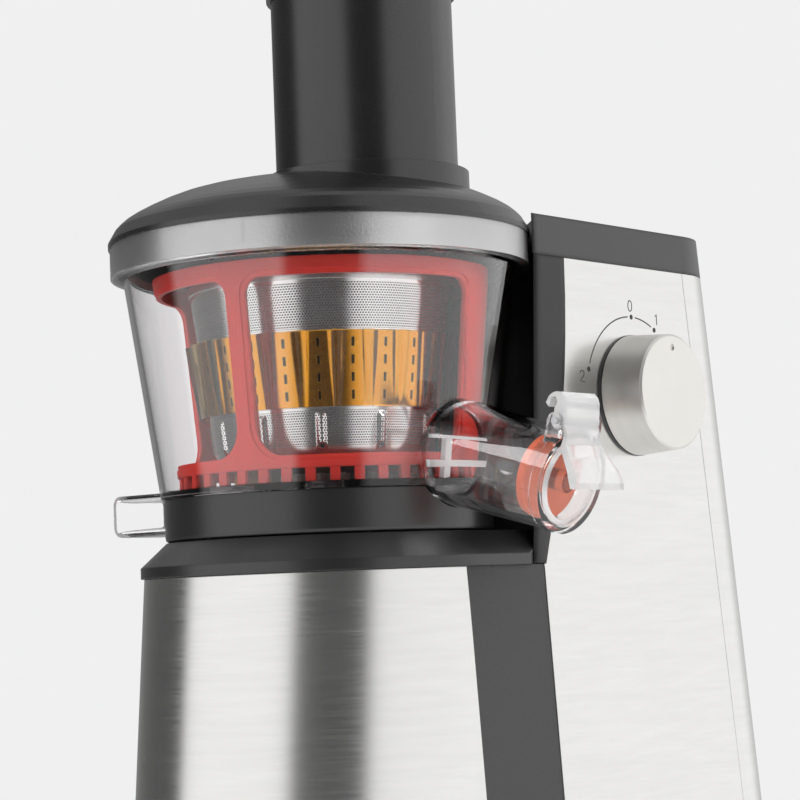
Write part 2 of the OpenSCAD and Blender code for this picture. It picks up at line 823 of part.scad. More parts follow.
reed_z = min(magnet_z - 4, cap_top - cap_roof - 9);   // stays under the cap's roof

module reed_switch() {
    color([0.2, 0.2, 0.22]) placed() rotate(magnet_turn)
        translate([cradle_top_r + housing_wall + 0.1, -12, reed_z]) cube([6, 24, 8]);
}

// ---- bowl ----

brush_top_r = bowl_top_r - bowl_wall - brush_gap_top;
brush_low_r = bowl_low_r - bowl_wall - brush_gap_low;
sieve_top_r = brush_top_r - brush_t - sieve_gap_top;
sieve_low_r = brush_low_r - brush_t - sieve_gap_low;
spout_in = spout_r - spout_wall;
wall_lean = atan((bowl_top_r - bowl_low_r)/bowl_h);
bar_x = bowl_low_r + 0.6;      // middle of the bowl's wall at the spout
chimney_r = 10;
chimney_in = hex_w/2/cos(30) + 1.2;
chimney_top = floor_z + 14;
ring_r = chimney_r + 2 + play;
function bowl_r(z) = bowl_low_r + (bowl_top_r - bowl_low_r)*(z - bowl_z)/bowl_h;
band_in = band_r - 3.4;
lug_turn = 12;
band_play = 0.4;
lug_h = 2.6;
lug_out = 1.6;
lug_z = band_z + 3.4;
lugs = [30, 150, 270];
groove_r = band_in + lug_out + band_play;

spout_l = (spout_reach - bowl_low_r)/cos(spout_slope) + 9.7;   // from the mouth to inside the bowl's wall
module on_spout() { translate(spout_mouth) rotate([0, 90 + spout_slope, 0]) children(); }

pulp_z = bowl_z - 11.5;
pulp_y = pulp_w/2;
module pulp_profile(inset) {
    // rounded rectangle, x is width and y is height
    r = 4 - inset;
    w = pulp_w - 8;
    h = pulp_h - 8;
    for (x = [-w/2, w/2], y = [4, 4 + h]) translate([x, y]) circle(r, $fn = 32);
    translate([-w/2, inset]) square([w, pulp_h - 2*inset]);
    translate([-w/2 - r, 4]) square([w + 2*r, h]);
}
module pulp_duct(inset, x0, x1) {
    translate([-x0, 0, pulp_z]) rotate([90, 0, -90]) linear_extrude(x1 - x0) pulp_profile(inset);
}

port_in = 23;
port_out = sieve_low_r - 3.3;
gate_r = 6;
gate_x = min(sieve_low_r + 4.7, collar_r - 3.5 - gate_r - 2.4 - 2*play);   // inside the collar
duct_wall = 2;

module port_plan(grow) {
    intersection() {
        difference() {
            circle(port_out + grow);
            circle(port_in - grow);
        }
        translate([-long/2, -11 - grow]) square([long/2, 22 + 2*grow]);
    }
}

comb_teeth = 40;
sun_teeth = 12;
idler_teeth = 14;
comb_m = 2*(brush_low_r - 2)/comb_teeth;
comb_w = 1.25*comb_m;
idler_r_axis = comb_m*(sun_teeth + idler_teeth)/2;
idler_pin_r = 3.2;
idler_turn = 90;

module bowl() {
    color(clear) placed() {
        difference() {
            union() {
                // wall, floor and rim band
                translate([0, 0, bowl_z]) cylinder(h = bowl_h + eps, r1 = bowl_low_r, r2 = bowl_top_r);
                translate([0, 0, band_z]) cylinder(h = band_h, r = band_r);
                translate([0, 0, band_z - 1.4]) cylinder(h = 1.4 + eps, r1 = bowl_top_r, r2 = band_r - 1);
                pulp_duct(0, port_in - duct_wall, pulp_reach);
                translate([0, 0, deck_z + 2]) cylinder(h = bowl_z - deck_z - 2 + eps, r = chimney_r + 2);
            }
            // inside of the bowl
            translate([0, 0, floor_z]) cylinder(h = band_z - floor_z + eps,
                r1 = bowl_r(floor_z) - bowl_wall, r2 = bowl_top_r - bowl_wall);
            translate([0, 0, band_z]) cylinder(h = band_h + 1, r = band_in);
            spout_bore();
            // pulp channel under the floor and its outlet
            intersection() {
                pulp_duct(duct_wall, port_in, pulp_reach + 1);
                union() {
                    translate([-long, -long/2, 0]) cube([long - bowl_low_r - 1, long, long]);
                    translate([-long, -long/2, 0]) cube([long, long, bowl_z]);
                }
            }
            translate([0, 0, bowl_z - 6]) linear_extrude(20) port_plan(0);
            translate([-gate_x, 0, pulp_z - 1]) cylinder(h = 8, r = gate_r + fit, $fn = 48);
            // hole of the drive shaft
            translate([0, 0, collar_z]) cylinder(h = 60, r = chimney_in);
            // grooves for the lid's lugs and the slots that let them in
            for (a = lugs) translate([0, 0, lug_z - band_play]) {
                w = lug_turn/2 + 1;
                arc(lug_h + 2*band_play, groove_r, band_in - 1, a - w, a + w + lid_turn);
                arc(band_h, groove_r, band_in - 1, a + lid_turn - w, a + lid_turn + w);
            }
        }
        // chimney round the drive shaft
        translate([0, 0, floor_z - eps]) ring(chimney_top - floor_z, chimney_r, chimney_in);
        // pin of the idler gear
        rotate(idler_turn) translate([idler_r_axis, 0, floor_z - eps])
            cylinder(h = 6.5, r = idler_pin_r, $fn = 48);
    }
}

// Way of the juice through the bowl's wall and the spout
module spout_bore() {
    difference() {
        on_spout() translate([0, 0, -spout_l]) cylinder(h = spout_l + 8, r = spout_in);
        translate([-long/2, -long/2, -long + floor_z])
            cube([long/2 + bowl_r(floor_z) - bowl_wall + 0.6, long, long]);
        translate([-long/2, -long/2, 0]) cube([long/2 + bowl_low_r - 6, long, long]);
    }
}

module juice_spout() {
    color(clear) placed() difference() {
        union() {
            intersection() {
                on_spout() translate([0, 0, -spout_l])
                    cylinder(h = spout_l, r1 = spout_r + spout_draft, r2 = spout_r);
                translate([bowl_low_r - 8, -long/2, 0]) cube([long, long, long]);
            }
            on_spout() translate([0, 0, -4]) cylinder(h = 4, r = flange_r);
            // ears of the cap's hinge
            at_mouth() for (s = [0, 1]) mirror([0, s, 0]) translate([hinge_x, lever_w/2 + play, 0]) {
                translate([0, 0, hinge_h]) rotate([-90, 0, 0]) cylinder(h = ear_w, r = 2.8, $fn = 32);
                translate([-2.8, 0, 12.6]) cube([5.6, ear_w, hinge_h - 12.6]);
            }
        }
        // seat on the bowl
        translate([0, 0, bowl_z - fit]) cylinder(h = bowl_h, r1 = bowl_low_r + fit, r2 = bowl_top_r + fit);
        spout_bore();
        at_mouth() translate([hinge_x, 0, hinge_h]) rotate([90, 0, 0])
            cylinder(h = 60, r = hinge_r + fit/2, center = true, $fn = 48);
    }
}

// Grid across the spout's root, pressed into the hole of the bowl's wall
module spout_guard() {
    color(clear) placed() intersection() {
        translate([bar_x, 0, spout_mouth[2] + (spout_reach - bar_x)*tan(spout_slope)])
            rotate([0, wall_lean, 0]) {
                translate([-1.1, -7.6, -9.2]) cube([2.2, 3.2, 14.9]);
                for (b = [[-4.2, 2.4], [5.1, 1.2]])
                    translate([-1.1, -spout_r, b[0] - b[1]/2]) cube([2.2, 2*spout_r, b[1]]);
            }
        on_spout() translate([0, 0, -spout_l]) cylinder(h = spout_l, r = spout_in - fit);
    }
}

module bowl_collar() {
    color(black) placed() difference() {
        translate([0, 0, collar_z]) rotate_extrude() polygon([
            [collar_r - 3.5, 0], [collar_r - 1.2, 0], [collar_r - 0.3, 0.5], [collar_r, 1.6],
            [collar_r, collar_h - seam], [collar_r - 3.5, collar_h - seam]]);
        translate([-long, -pulp_w/2 - play, pulp_z - play]) cube([long, pulp_w + 2*play, long]);
        on_spout() translate([0, 0, -spout_l])
            cylinder(h = spout_l, r1 = spout_r + spout_draft + play, r2 = spout_r + play);
    }
}

module pulp_gate() {
    color(orange) placed() translate([-gate_x, 0, pulp_z - 2.2]) {
        cylinder(h = 2, r = gate_r + 2.4, $fn = 48);
        cylinder(h = 2.2 + duct_wall, r = gate_r, $fn = 48);
    }
}

// ---- juice cap ----

hinge_h = flange_r + 2.9;  // height of the cap's hinge over the spout's axis
hinge_x = -3;
hinge_r = 1.2;
barrel_r = 2.5;
lever_w = 19.4;
lip_w = 28;
ear_w = 2.2;
plug_in = 8.6;       // depth of the plug's face in the mouth
plug_l = 4.4;
stem_r = 3.8;
disc_t = 2.3;        // disc that closes the mouth, standing 0.3 proud of it
disc_r = spout_in - 0.7;
disc_out = 0.3;
disc_swing_r = 7.6;  // room for the disc's edge round the hinge
// Radius at a depth in the mouth that swings clear of the bore round the hinge
function plug_r(d) = sqrt(pow(hinge_h + spout_in - play, 2) - pow(d + hinge_x, 2)) - hinge_h;

// Local frame at the mouth: x out along the spout, y across, z up from the axis
module at_mouth() { translate(spout_mouth) rotate([0, spout_slope, 0]) children(); }

// Side view of the lever, from its lip up to the curl for the thumb and back
lever_side = [
    [lip_reach, lip_z], [12.3, 2.6], [9.8, 6.3], [6.2, 10], [2.9, 13.8], [1.8, 17.4], [0.4, hinge_h - 1],
    [-0.4, 25.4], [-0.9, 28], [-1.9, 29.8], [-3.8, 31], [-5.6, 30.9], [-7.1, 30.3], [-8.7, 28.7],
    [-9.5, 26.2], [-7.9, 25], [-7.6, 26.2], [-7.4, 28.3], [-6.6, 28.9], [-5.6, 28.9], [-4.6, 27],
    [-5.4, 25.3], [-5.2, hinge_h], [-4.2, hinge_h - 1.4], [-1.4, hinge_h - 2.3], [0.3, hinge_h - 2.4],
    [0.4, 17.4], [1, 12.4], [4.2, 9], [7.6, 5.2], [lip_reach - 2.2, lip_z - 0.4]];

module juice_cap() {
    color(clear) placed() at_mouth() difference() {
        union() {
            intersection() {
                rotate([90, 0, 0]) linear_extrude(lip_w, center = true) polygon(lever_side);
                rotate([90, 0, 90]) linear_extrude(100, center = true) polygon([
                    [-lip_w/2, -4], [lip_w/2, -4], [lip_w/2, 3], [lip_w/2 - 0.4, 5.4],
                    [lever_w/2 + 1.9, 11], [lever_w/2, 16], [lever_w/2, 40], [-lever_w/2, 40],
                    [-lever_w/2, 16], [-lever_w/2 - 1.9, 11], [0.4 - lip_w/2, 5.4], [-lip_w/2, 3]]);
            }
            translate([hinge_x, 0, hinge_h]) rotate([90, 0, 0])
                cylinder(h = lever_w, r = barrel_r, center = true, $fn = 48);
            // disc in the mouth, cut back round the hinge, and the web that joins it to the lever
            difference() {
                rotate([0, 90, 0]) rotate_extrude() polygon([
                    [0, disc_out - disc_t], [disc_r, disc_out - disc_t], [disc_r, -0.6],
                    [disc_r - 1.8, disc_out], [0, disc_out]]);
                translate([hinge_x, 0, hinge_h]) rotate([90, 0, 0])
                    cylinder(h = 40, r = disc_swing_r, center = true);
            }
            rotate([90, 0, 0]) linear_extrude(14, center = true)
                polygon([[0, 13.4], [0, 7.5], [4.5, 9.6], [2.2, 13.4]]);
            // stem of the plug
            translate([-plug_in - plug_l + 1.2, 0, 0]) rotate([0, 90, 0])
                cylinder(h = plug_in + plug_l - 1, r = stem_r, $fn = 48);
        }
        translate([hinge_x, 0, hinge_h]) rotate([90, 0, 0])
            cylinder(h = 30, r = hinge_r + fit, center = true, $fn = 48);
    }
}

module cap_pin() {
    color([0.8, 0.8, 0.82]) placed() at_mouth() translate([hinge_x, 0, hinge_h]) rotate([90, 0, 0])
        cylinder(h = lever_w + 2*play + 2*ear_w, r = hinge_r, center = true, $fn = 48);
}

module cap_plug() {
    z0 = plug_in;
    z1 = plug_in + plug_l;
    color(orange) placed() at_mouth() rotate([0, 90, 0]) rotate_extrude() polygon([
        [stem_r + fit, -z0], [plug_r(z0) - 0.8, -z0], [plug_r(z0 + 0.8), -z0 - 0.8],
        [plug_r(z1 - 0.8), 0.8 - z1], [plug_r(z1) - 0.8, -z1], [0, -z1], [0, 1 - z1],
        [stem_r + fit, 1 - z1]]);
}

// ---- sieve ----

sieve_z = floor_z + 8.2;      // underside of the sieve's floor
sieve_floor_t = 2.6;
sieve_top = band_z - 4.8;
amber_z = sieve_z + 19;
rim_t = 3;
function sieve_r(z) = sieve_low_r + (sieve_top_r - sieve_low_r)*(z - sieve_z)/(sieve_top - sieve_z);

module cone_shell(z0, z1, out, thick) {
    difference() {
        translate([0, 0, z0]) cylinder(h = z1 - z0, r1 = sieve_r(z0) + out, r2 = sieve_r(z1) + out);
        translate([0, 0, z0 - 1]) cylinder(h = z1 - z0 + 2, r1 = sieve_r(z0 - 1) + out - thick,
            r2 = sieve_r(z1 + 1) + out - thick);
    }
}

module sieve_rim() { color(steel) placed() cone_shell(sieve_top - rim_t, sieve_top, 0.8, 1.4 + mesh_t); }
module sieve_upper() { color(steel) placed() cone_shell(amber_z + amber_h, sieve_top - rim_t, 0, mesh_t); }

band_out = 4.8;
module sieve_band() {
    color(amber) placed() difference() {
        cone_shell(amber_z, amber_z + amber_h, band_out, band_out + 1.2);
        for (a = [0:15:345], i = [0:3]) rotate(a)
            translate([20, -0.7, amber_z + 4.4 + 4.9*i]) cube([60, 1.4, 3.6]);
    }
}

module sieve_lower() { color(steel) placed() cone_shell(sieve_z + sieve_floor_t, amber_z, 0, mesh_t); }

auger_hub_r = 13;
module sieve_floor() {
    color(amber) placed() difference() {
        union() {
            translate([0, 0, sieve_z]) cylinder(h = sieve_floor_t, r = sieve_low_r);
            translate([0, 0, floor_z + play]) linear_extrude(sieve_z - floor_z - play + eps) port_plan(1.4);
        }
        translate([0, 0, sieve_z - 1]) cylinder(h = 10, r = auger_hub_r + play);
        translate([0, 0, floor_z - 1]) linear_extrude(30) port_plan(-0.2);
    }
}

// ---- brush ----

comb_z = floor_z + play;
brush_z = comb_z + comb_h;
brush_top = band_z - 1.1;
low_ring_h = 4.6;
top_ring_h = 6.4;
post_start = -77.5;
function brush_r(z) = brush_low_r + (brush_top_r - brush_low_r)*(z - brush_z)/(brush_top - brush_z);

function post_half(k) = (k % 2 == 0 ? post_turn : wide_post_turn)/2;
function post_at(k) = post_start + [0, wide_post_off, 180, 360 - wide_post_off, 360][k];
module brush_frame() {
    color(red) placed() {
        difference() {
            translate([0, 0, brush_z]) cylinder(h = brush_top - brush_z, r1 = brush_low_r, r2 = brush_top_r);
            translate([0, 0, brush_z - 1]) cylinder(h = brush_top - brush_z + 2,
                r1 = brush_r(brush_z - 1) - brush_t, r2 = brush_r(brush_top + 1) - brush_t);
            for (k = [0:3]) translate([0, 0, brush_z + low_ring_h])
                linear_extrude(brush_top - top_ring_h - brush_z - low_ring_h)
                wedge(post_at(k) + post_half(k), post_at(k + 1) - post_half(k + 1));
        }
        for (k = [0:comb_teeth - 1]) rotate(360*k/comb_teeth)
            translate([brush_low_r - brush_t + 0.4, -comb_w/2, comb_z])
            cube([brush_t - 0.6, comb_w, comb_h + 0.5]);
    }
}

wiper_t = 1.4;
module brush_wipers() {
    z0 = brush_z + low_ring_h + 1;
    z1 = brush_top - top_ring_h - 1;
    color([0.85, 0.3, 0.26]) placed() for (k = [0:3]) rotate(post_at(k))
        rotate([90, 0, 0]) translate([0, 0, -wiper_t/2]) linear_extrude(wiper_t) polygon([
            [brush_r(z0) - brush_t - 0.05, z0], [brush_r(z1) - brush_t - 0.05, z1],
            [sieve_r(z1) + band_out + 1, z1], [sieve_r(z0) + band_out + 1, z0]]);
}

// ---- gears in the bowl ----

bowl_gear_h = 4.5;
bowl_gear_z = floor_z + 0.6;
auger_gear_top = bowl_gear_z + bowl_gear_h;

module idler_gear() {
    color([0.9, 0.9, 0.88]) placed() rotate(idler_turn) translate([idler_r_axis, 0, bowl_gear_z])
        rotate(180 + 180/idler_teeth) spur(idler_teeth, comb_m, bowl_gear_h, idler_pin_r + fit, 0.6, 0.7);
}

module idler_clip() {
    color([0.75, 0.75, 0.77]) placed() rotate(idler_turn) translate([idler_r_axis, 0, auger_gear_top + 0.2])
        ring(1, 5, idler_pin_r + fit/2);
}

module auger_gear() {
    color([0.9, 0.9, 0.88]) placed() translate([0, 0, bowl_gear_z])
        spur(sun_teeth, comb_m, bowl_gear_h, chimney_r + 0.6, 0.5, 0.7);
}

auger_z = sieve_z + sieve_floor_t + 0.6;
auger_top = lid_z - 9;
auger_pin_r = 5;
flight_play = 1.2;

flight_top = auger_top - 13;
core_r = 23;
function flight_r(z) = sieve_r(z) - mesh_t - flight_play;

module auger() {
    r0 = flight_r(auger_z);
    color([0.30, 0.17, 0.10]) placed() difference() {
        union() {
            rotate_extrude() polygon([[0, auger_z], [core_r, auger_z], [core_r + 1, auger_z + 8],
                [17, auger_top - 20], [12, auger_top], [0, auger_top]]);
            translate([0, 0, auger_gear_top])
                cylinder(h = auger_z - auger_gear_top + 1, r = auger_hub_r - 0.2);
            translate([0, 0, auger_top - eps]) cylinder(h = 9, r = auger_pin_r, $fn = 48);
            translate([0, 0, auger_z + 1]) linear_extrude(flight_top - auger_z - 1, twist = -540,
                scale = flight_r(flight_top)/r0, slices = 54, $fn = 12)
                translate([0, -2]) square([r0, 4]);
        }
        translate([0, 0, floor_z - 1]) cylinder(h = chimney_top + 2.6 - floor_z, r = chimney_r + 0.6);
        translate([0, 0, chimney_top])
            cylinder(h = hex_top + 1 - chimney_top, r = (hex_w/2 + 0.15)/cos(30), $fn = 6);
    }
}

// ---- lid ----

boss_r = 8.5;
boss_z = lid_z - 4;
bush_r = auger_pin_r + 1.6;
spigot_r = band_in - play;
spigot_z = lug_z;
shoulder_r = feed_r + 4;
crease_z = lid_z + 6.3;

// Smooth curve through the points p, in n steps between each two of them
function curve_at(a, b, c, d, t) = b + (c - a)*t/2 + (a - 2.5*b + 2*c - d/2)*t*t
    + (1.5*b - a/2 - 1.5*c + d/2)*t*t*t;
function curve(p, n) = [for (i = [1:len(p) - 3], k = [0:n - 1])
    curve_at(p[i - 1], p[i], p[i + 1], p[i + 2], k/n)];

// Outline of the dome from its crease to its middle, as parts of the lid's radius and of the dome's height
dome_shape = [[1.006, 0.06], [0.9675, 0.236], [0.89, 0.42], [0.70, 0.675], [0.475, 0.83], [0.18, 0.965],
    [0, 1], [-0.18, 0.965]];
dome_steps = 3;
function dome_line(inset) = [for (p = concat(curve(dome_shape, dome_steps), [[0, 1]]))
    [lid_r*p[0], lid_z + dome_h*p[1] - inset]];
function dome_points(inset) = let (line = dome_line(inset)) concat(
    [[lid_r - inset, lid_z], [lid_r - inset, lid_z + 1.8], [lid_r - 2.6 - inset, crease_z - inset*0.4]],
    [for (i = [1:len(line) - 1]) line[i]]);

module lid() {
    color(black) placed() {
        difference() {
            union() {
                rotate_extrude() polygon(concat(dome_points(0), [[0, lid_z]]));
                translate([0, 0, spigot_z]) cylinder(h = lid_z - spigot_z + eps, r = spigot_r);
                translate([feed_offset, 0, boss_z]) cylinder(h = feed_top - boss_z, r = feed_r);
                translate([0, 0, boss_z]) cylinder(h = 16, r = boss_r);
                translate([feed_offset, 0, lid_z + 4]) cylinder(h = dome_h - 8, r = shoulder_r);
                translate([feed_offset, 0, feed_top - 5]) cylinder(h = 5, r = feed_r + 1.6);
            }
            difference() {
                union() {
                    rotate_extrude() polygon(concat(
                        [[spigot_r - lid_wall, spigot_z - 1], [spigot_r - lid_wall, lid_z + 3]],
                        [for (p = dome_line(lid_wall)) if (p[0] < lid_r*0.9) p], [[0, spigot_z - 1]]));
                }
                translate([feed_offset, 0, boss_z]) cylinder(h = long, r = feed_r);
                translate([0, 0, boss_z]) cylinder(h = 16, r = boss_r);
            }
            difference() {
                translate([feed_offset, 0, spigot_z - 5]) cylinder(h = long, r = feed_r - lid_wall);
                // boss for the auger's top pivot
                translate([0, 0, boss_z]) cylinder(h = 16, r = boss_r);
            }
            translate([0, 0, spigot_z - 5]) cylinder(h = boss_z + 11 - spigot_z + 5, r = bush_r + fit/2);
        }
        // lugs of the bayonet
        for (a = lugs) translate([0, 0, lug_z])
            arc(lug_h, spigot_r + lug_out, spigot_r - 0.6, a - lug_turn/2, a + lug_turn/2);
    }
}

module lid_bush() {
    color([0.85, 0.85, 0.82]) placed() translate([0, 0, boss_z]) ring(10.5, bush_r, auger_pin_r + fit);
}

module lid_magnet() {
    color([0.5, 0.5, 0.52]) placed() rotate(magnet_turn) translate([spigot_r - lid_wall - 4.4, -5, lid_z - 6])
        cube([4, 10, 5]);
}

module lid_seal() {
    color([0.85, 0.85, 0.85]) placed() translate([0, 0, band_z])
        ring(lug_z - band_z - play, band_in - 0.1, band_in - 3);
}

pusher_low = 18;       // height of the pusher's foot above the bowl's rim
pusher_wall = 2.6;
grip_h = 17;

module pusher() {
    r = feed_r - lid_wall - 0.5;
    z0 = lid_z + pusher_low;
    z1 = feed_top + grip_h;
    color(black) placed() translate([feed_offset, 0, 0]) difference() {
        union() {
            translate([0, 0, z0]) cylinder(h = z1 - z0, r = r);
            translate([0, 0, feed_top + play]) cylinder(h = 3, r = feed_r + 3);
            translate([0, 0, z1 - 3]) cylinder(h = 3, r = r + 2);
        }
        translate([0, 0, z0 + pusher_wall]) cylinder(h = long, r = r - pusher_wall);
    }
}

base_plate();
rubber_feet();
base_screws();
housing();
front_wrap();
side_trims();
side_panel_right();
side_panel_left();
rear_wrap();
back_plate();
cord_gland();
tower_cap();
deck();
knob();
knob_ring();
rotary_switch();
switch_shaft();
control_board();
reed_switch();
motor_case();
motor_stator();
motor_rotor();
motor_bearings();
cooling_fan();
gearbox_housing();
gearbox_cover();
gearbox_screws();
motor_pinion();
reduction_gear();
gear_pin();
output_gear();
drive_shaft();
shaft_bearings();
shaft_seal();
bowl();
bowl_collar();
juice_spout();
spout_guard();
pulp_gate();
juice_cap();
cap_pin();
cap_plug();
sieve_rim();
sieve_upper();
sieve_band();
sieve_lower();
sieve_floor();
brush_frame();
brush_wipers();
idler_gear();
idler_clip();
auger();
auger_gear();
lid();
lid_bush();
lid_magnet();
lid_seal();
pusher();
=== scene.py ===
"""Looks of the cold press juicer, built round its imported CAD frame."""

import math

import bmesh
import bpy
from mathutils import Matrix, Vector


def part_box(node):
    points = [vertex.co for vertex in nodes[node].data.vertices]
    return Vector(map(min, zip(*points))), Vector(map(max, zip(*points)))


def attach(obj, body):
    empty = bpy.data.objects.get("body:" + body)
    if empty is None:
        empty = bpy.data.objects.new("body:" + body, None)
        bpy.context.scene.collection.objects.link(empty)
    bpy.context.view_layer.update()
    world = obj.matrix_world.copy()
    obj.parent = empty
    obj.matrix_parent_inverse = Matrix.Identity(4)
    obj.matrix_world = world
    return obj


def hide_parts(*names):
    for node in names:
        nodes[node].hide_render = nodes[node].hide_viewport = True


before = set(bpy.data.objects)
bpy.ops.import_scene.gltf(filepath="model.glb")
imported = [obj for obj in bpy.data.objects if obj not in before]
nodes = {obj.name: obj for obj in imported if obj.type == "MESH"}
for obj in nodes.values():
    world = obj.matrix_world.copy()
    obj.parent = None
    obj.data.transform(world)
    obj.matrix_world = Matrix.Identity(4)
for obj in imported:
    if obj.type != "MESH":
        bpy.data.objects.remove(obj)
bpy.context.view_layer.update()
bpy.context.view_layer.update()


# ---------------------------------------------------------------- places

low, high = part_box("shaft_bearings")
AXIS = Vector(((low.x + high.x) / 2, (low.y + high.y) / 2, 0))


def at(x, y, z):
    """Point in metres from millimetres about the bowl's axis."""
    return AXIS + Vector((x, y, z)) / 1000


def bottom(node):
    """Lowest point of a CAD node in millimetres."""
    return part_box(node)[0].z * 1000


def top(node):
    """Highest point of a CAD node in millimetres."""
    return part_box(node)[1].z * 1000


# Heights in millimetres over the worktop, other lengths from the bowl's axis.
FLOOR = bottom("idler_gear") - 0.6  # top of the bowl's floor
BAND = top("bowl") - 11.3  # lower edge of the frosted rim band
PANEL_X = 70.0  # outer face of the right side panel
KNOB_Y = 103.1
KNOB_Z = (bottom("knob") + top("knob")) / 2
MOUTH = (113.3, FLOOR - 4.8)  # x and z of the middle of the juice spout's mouth
SPOUT_SLOPE = math.radians(16)
RING_Z = FLOOR + 5.2  # lower ring of the brush frame, above its teeth
BRUSH_TOP = top("brush_frame")
SIEVE_Z = FLOOR + 8.2
SIEVE_TOP = BAND - 4.8
AMBER_Z = SIEVE_Z + 19  # lower edge of the amber band
POSTS = [(-77.5, 7.3), (29.5, 38.0), (102.5, 7.3), (175.5, 38.0)]  # angle and width in degrees
BRUSH_SEAM = 102.5  # angle of the post in which the brush frame's sheet begins and ends
ARC_SCALE = 1.05  # millimetres drawn flat per degree round the brush frame


def brush_r(z):
    """Outer radius of the brush frame at a height."""
    return 56.5 + 7.3 * max(0.0, z - RING_Z) / (BRUSH_TOP - RING_Z)


def sieve_r(z):
    """Outer radius of the sieve at a height."""
    return 41.3 + 9.0 * (z - SIEVE_Z) / (SIEVE_TOP - SIEVE_Z)


# ---------------------------------------------------------------- camera

def place_camera():
    """Camera fitted to the picture's view: its axes, place and lens."""
    camera = bpy.data.objects.new("camera", bpy.data.cameras.new("camera"))
    bpy.context.scene.collection.objects.link(camera)
    right = Vector((0.75730, 0.65187, -0.03952)).normalized()
    up = Vector((0.08302, -0.03607, 0.99589))
    up = (up - right * up.dot(right)).normalized()
    back = right.cross(up)
    matrix = Matrix((right, up, back)).transposed().to_4x4()
    matrix.translation = at(599.15, -657.21, 164.39)
    camera.matrix_world = matrix
    camera.data.sensor_width = 36
    camera.data.lens = 106.065
    camera.data.clip_start = 0.01
    camera.data.clip_end = 60
    bpy.context.scene.camera = camera


place_camera()


# ---------------------------------------------------------------- node helpers

class Shader:
    """Small helper that builds one material's node tree."""

    def __init__(self, name, color=(0.8, 0.8, 0.8), metallic=0.0, roughness=0.5, **sockets):
        self.material = bpy.data.materials.new(name)
        self.material.use_nodes = True
        self.tree = self.material.node_tree
        self.shader = self.tree.nodes["Principled BSDF"]
        self.set("Base Color", (*color, 1))
        self.set("Metallic", metallic)
        self.set("Roughness", roughness)
        for key, value in sockets.items():
            self.set(key.replace("_", " "), value)
        self.material.diffuse_color = (*color, 1)
        self.normal = None

    def set(self, socket, value):
        self.shader.inputs[socket].default_value = value

    def node(self, kind, **settings):
        made = self.tree.nodes.new(kind)
        for key, value in settings.items():
            setattr(made, key, value)
        return made

    def link(self, source, target):
        self.tree.links.new(source, target)

    def value(self, source, socket):
        """Feeds a socket from another socket or a plain number."""
        if isinstance(source, bpy.types.NodeSocket):
            self.link(source, socket)
        else:
            socket.default_value = source

    def math(self, operation, a, b=0.0, c=0.0):
        made = self.node("ShaderNodeMath", operation=operation)
        for index, source in enumerate((a, b, c)):
            self.value(source, made.inputs[index])
        return made.outputs[0]

    def place(self):
        """Position on the object in millimetres about the bowl's axis: x, y, z."""
        coord = self.node("ShaderNodeTexCoord")
        shift = self.node("ShaderNodeVectorMath", operation="SUBTRACT")
        shift.inputs[1].default_value = AXIS
        self.link(coord.outputs["Object"], shift.inputs[0])
        scale = self.node("ShaderNodeVectorMath", operation="SCALE")
        scale.inputs["Scale"].default_value = 1000
        self.link(shift.outputs[0], scale.inputs[0])
        split = self.node("ShaderNodeSeparateXYZ")
        self.link(scale.outputs[0], split.inputs[0])
        return scale.outputs[0], split.outputs

    def radius(self, a, b):
        """Length of the vector (a, b)."""
        squares = (self.math("POWER", a, 2.0), self.math("POWER", b, 2.0))
        return self.math("SQRT", self.math("ADD", *squares))

    def noise(self, vector, scale, detail=2.0, stretch=(1, 1, 1), roughness=0.5):
        mapping = self.node("ShaderNodeMapping")
        mapping.inputs["Scale"].default_value = stretch
        self.link(vector, mapping.inputs["Vector"])
        made = self.node("ShaderNodeTexNoise")
        made.inputs["Scale"].default_value = scale
        made.inputs["Detail"].default_value = detail
        made.inputs["Roughness"].default_value = roughness
        self.link(mapping.outputs[0], made.inputs["Vector"])
        return made.outputs["Fac"]

    def spread(self, source, low, high, start=0.0, end=1.0, smooth=False):
        """Maps the range start to end onto low to high."""
        made = self.node("ShaderNodeMapRange")
        if smooth:
            made.interpolation_type = "SMOOTHSTEP"
        self.value(source, made.inputs["Value"])
        limits = {"From Min": start, "From Max": end, "To Min": low, "To Max": high}
        for key, number in limits.items():
            made.inputs[key].default_value = number
        return made.outputs["Result"]

    def mix(self, factor, a, b):
        made = self.node("ShaderNodeMix", data_type="RGBA")
        self.value(factor, made.inputs["Factor"])
        for socket, source in ((made.inputs[6], a), (made.inputs[7], b)):
            if isinstance(source, tuple):
                socket.default_value = (*source, 1)
            else:
                self.link(source, socket)
        return made.outputs[2]

    def bump(self, height, strength, distance=0.0002):
        made = self.node("ShaderNodeBump")
        made.inputs["Strength"].default_value = strength
        made.inputs["Distance"].default_value = distance
        self.link(height, made.inputs["Height"])
        if self.normal is not None:
            self.link(self.normal, made.inputs["Normal"])
        self.normal = made.outputs["Normal"]
        self.link(self.normal, self.shader.inputs["Normal"])

    def bevel(self, radius):
        made = self.node("ShaderNodeBevel", samples=4)
        made.inputs["Radius"].default_value = radius / 1000
        self.normal = made.outputs["Normal"]
        self.link(self.normal, self.shader.inputs["Normal"])

    def color(self, source):
        self.link(source, self.shader.inputs["Base Color"])

    def shade(self, factor, color, less, more):
        """Colour that varies between less and more times the given one."""
        dark = tuple(c * less for c in color)
        bright = tuple(min(1, c * more) for c in color)
        self.color(self.mix(self.spread(factor, 0, 1), dark, bright))

    def rough(self, source):
        self.link(source, self.shader.inputs["Roughness"])


# ---------------------------------------------------------------- materials

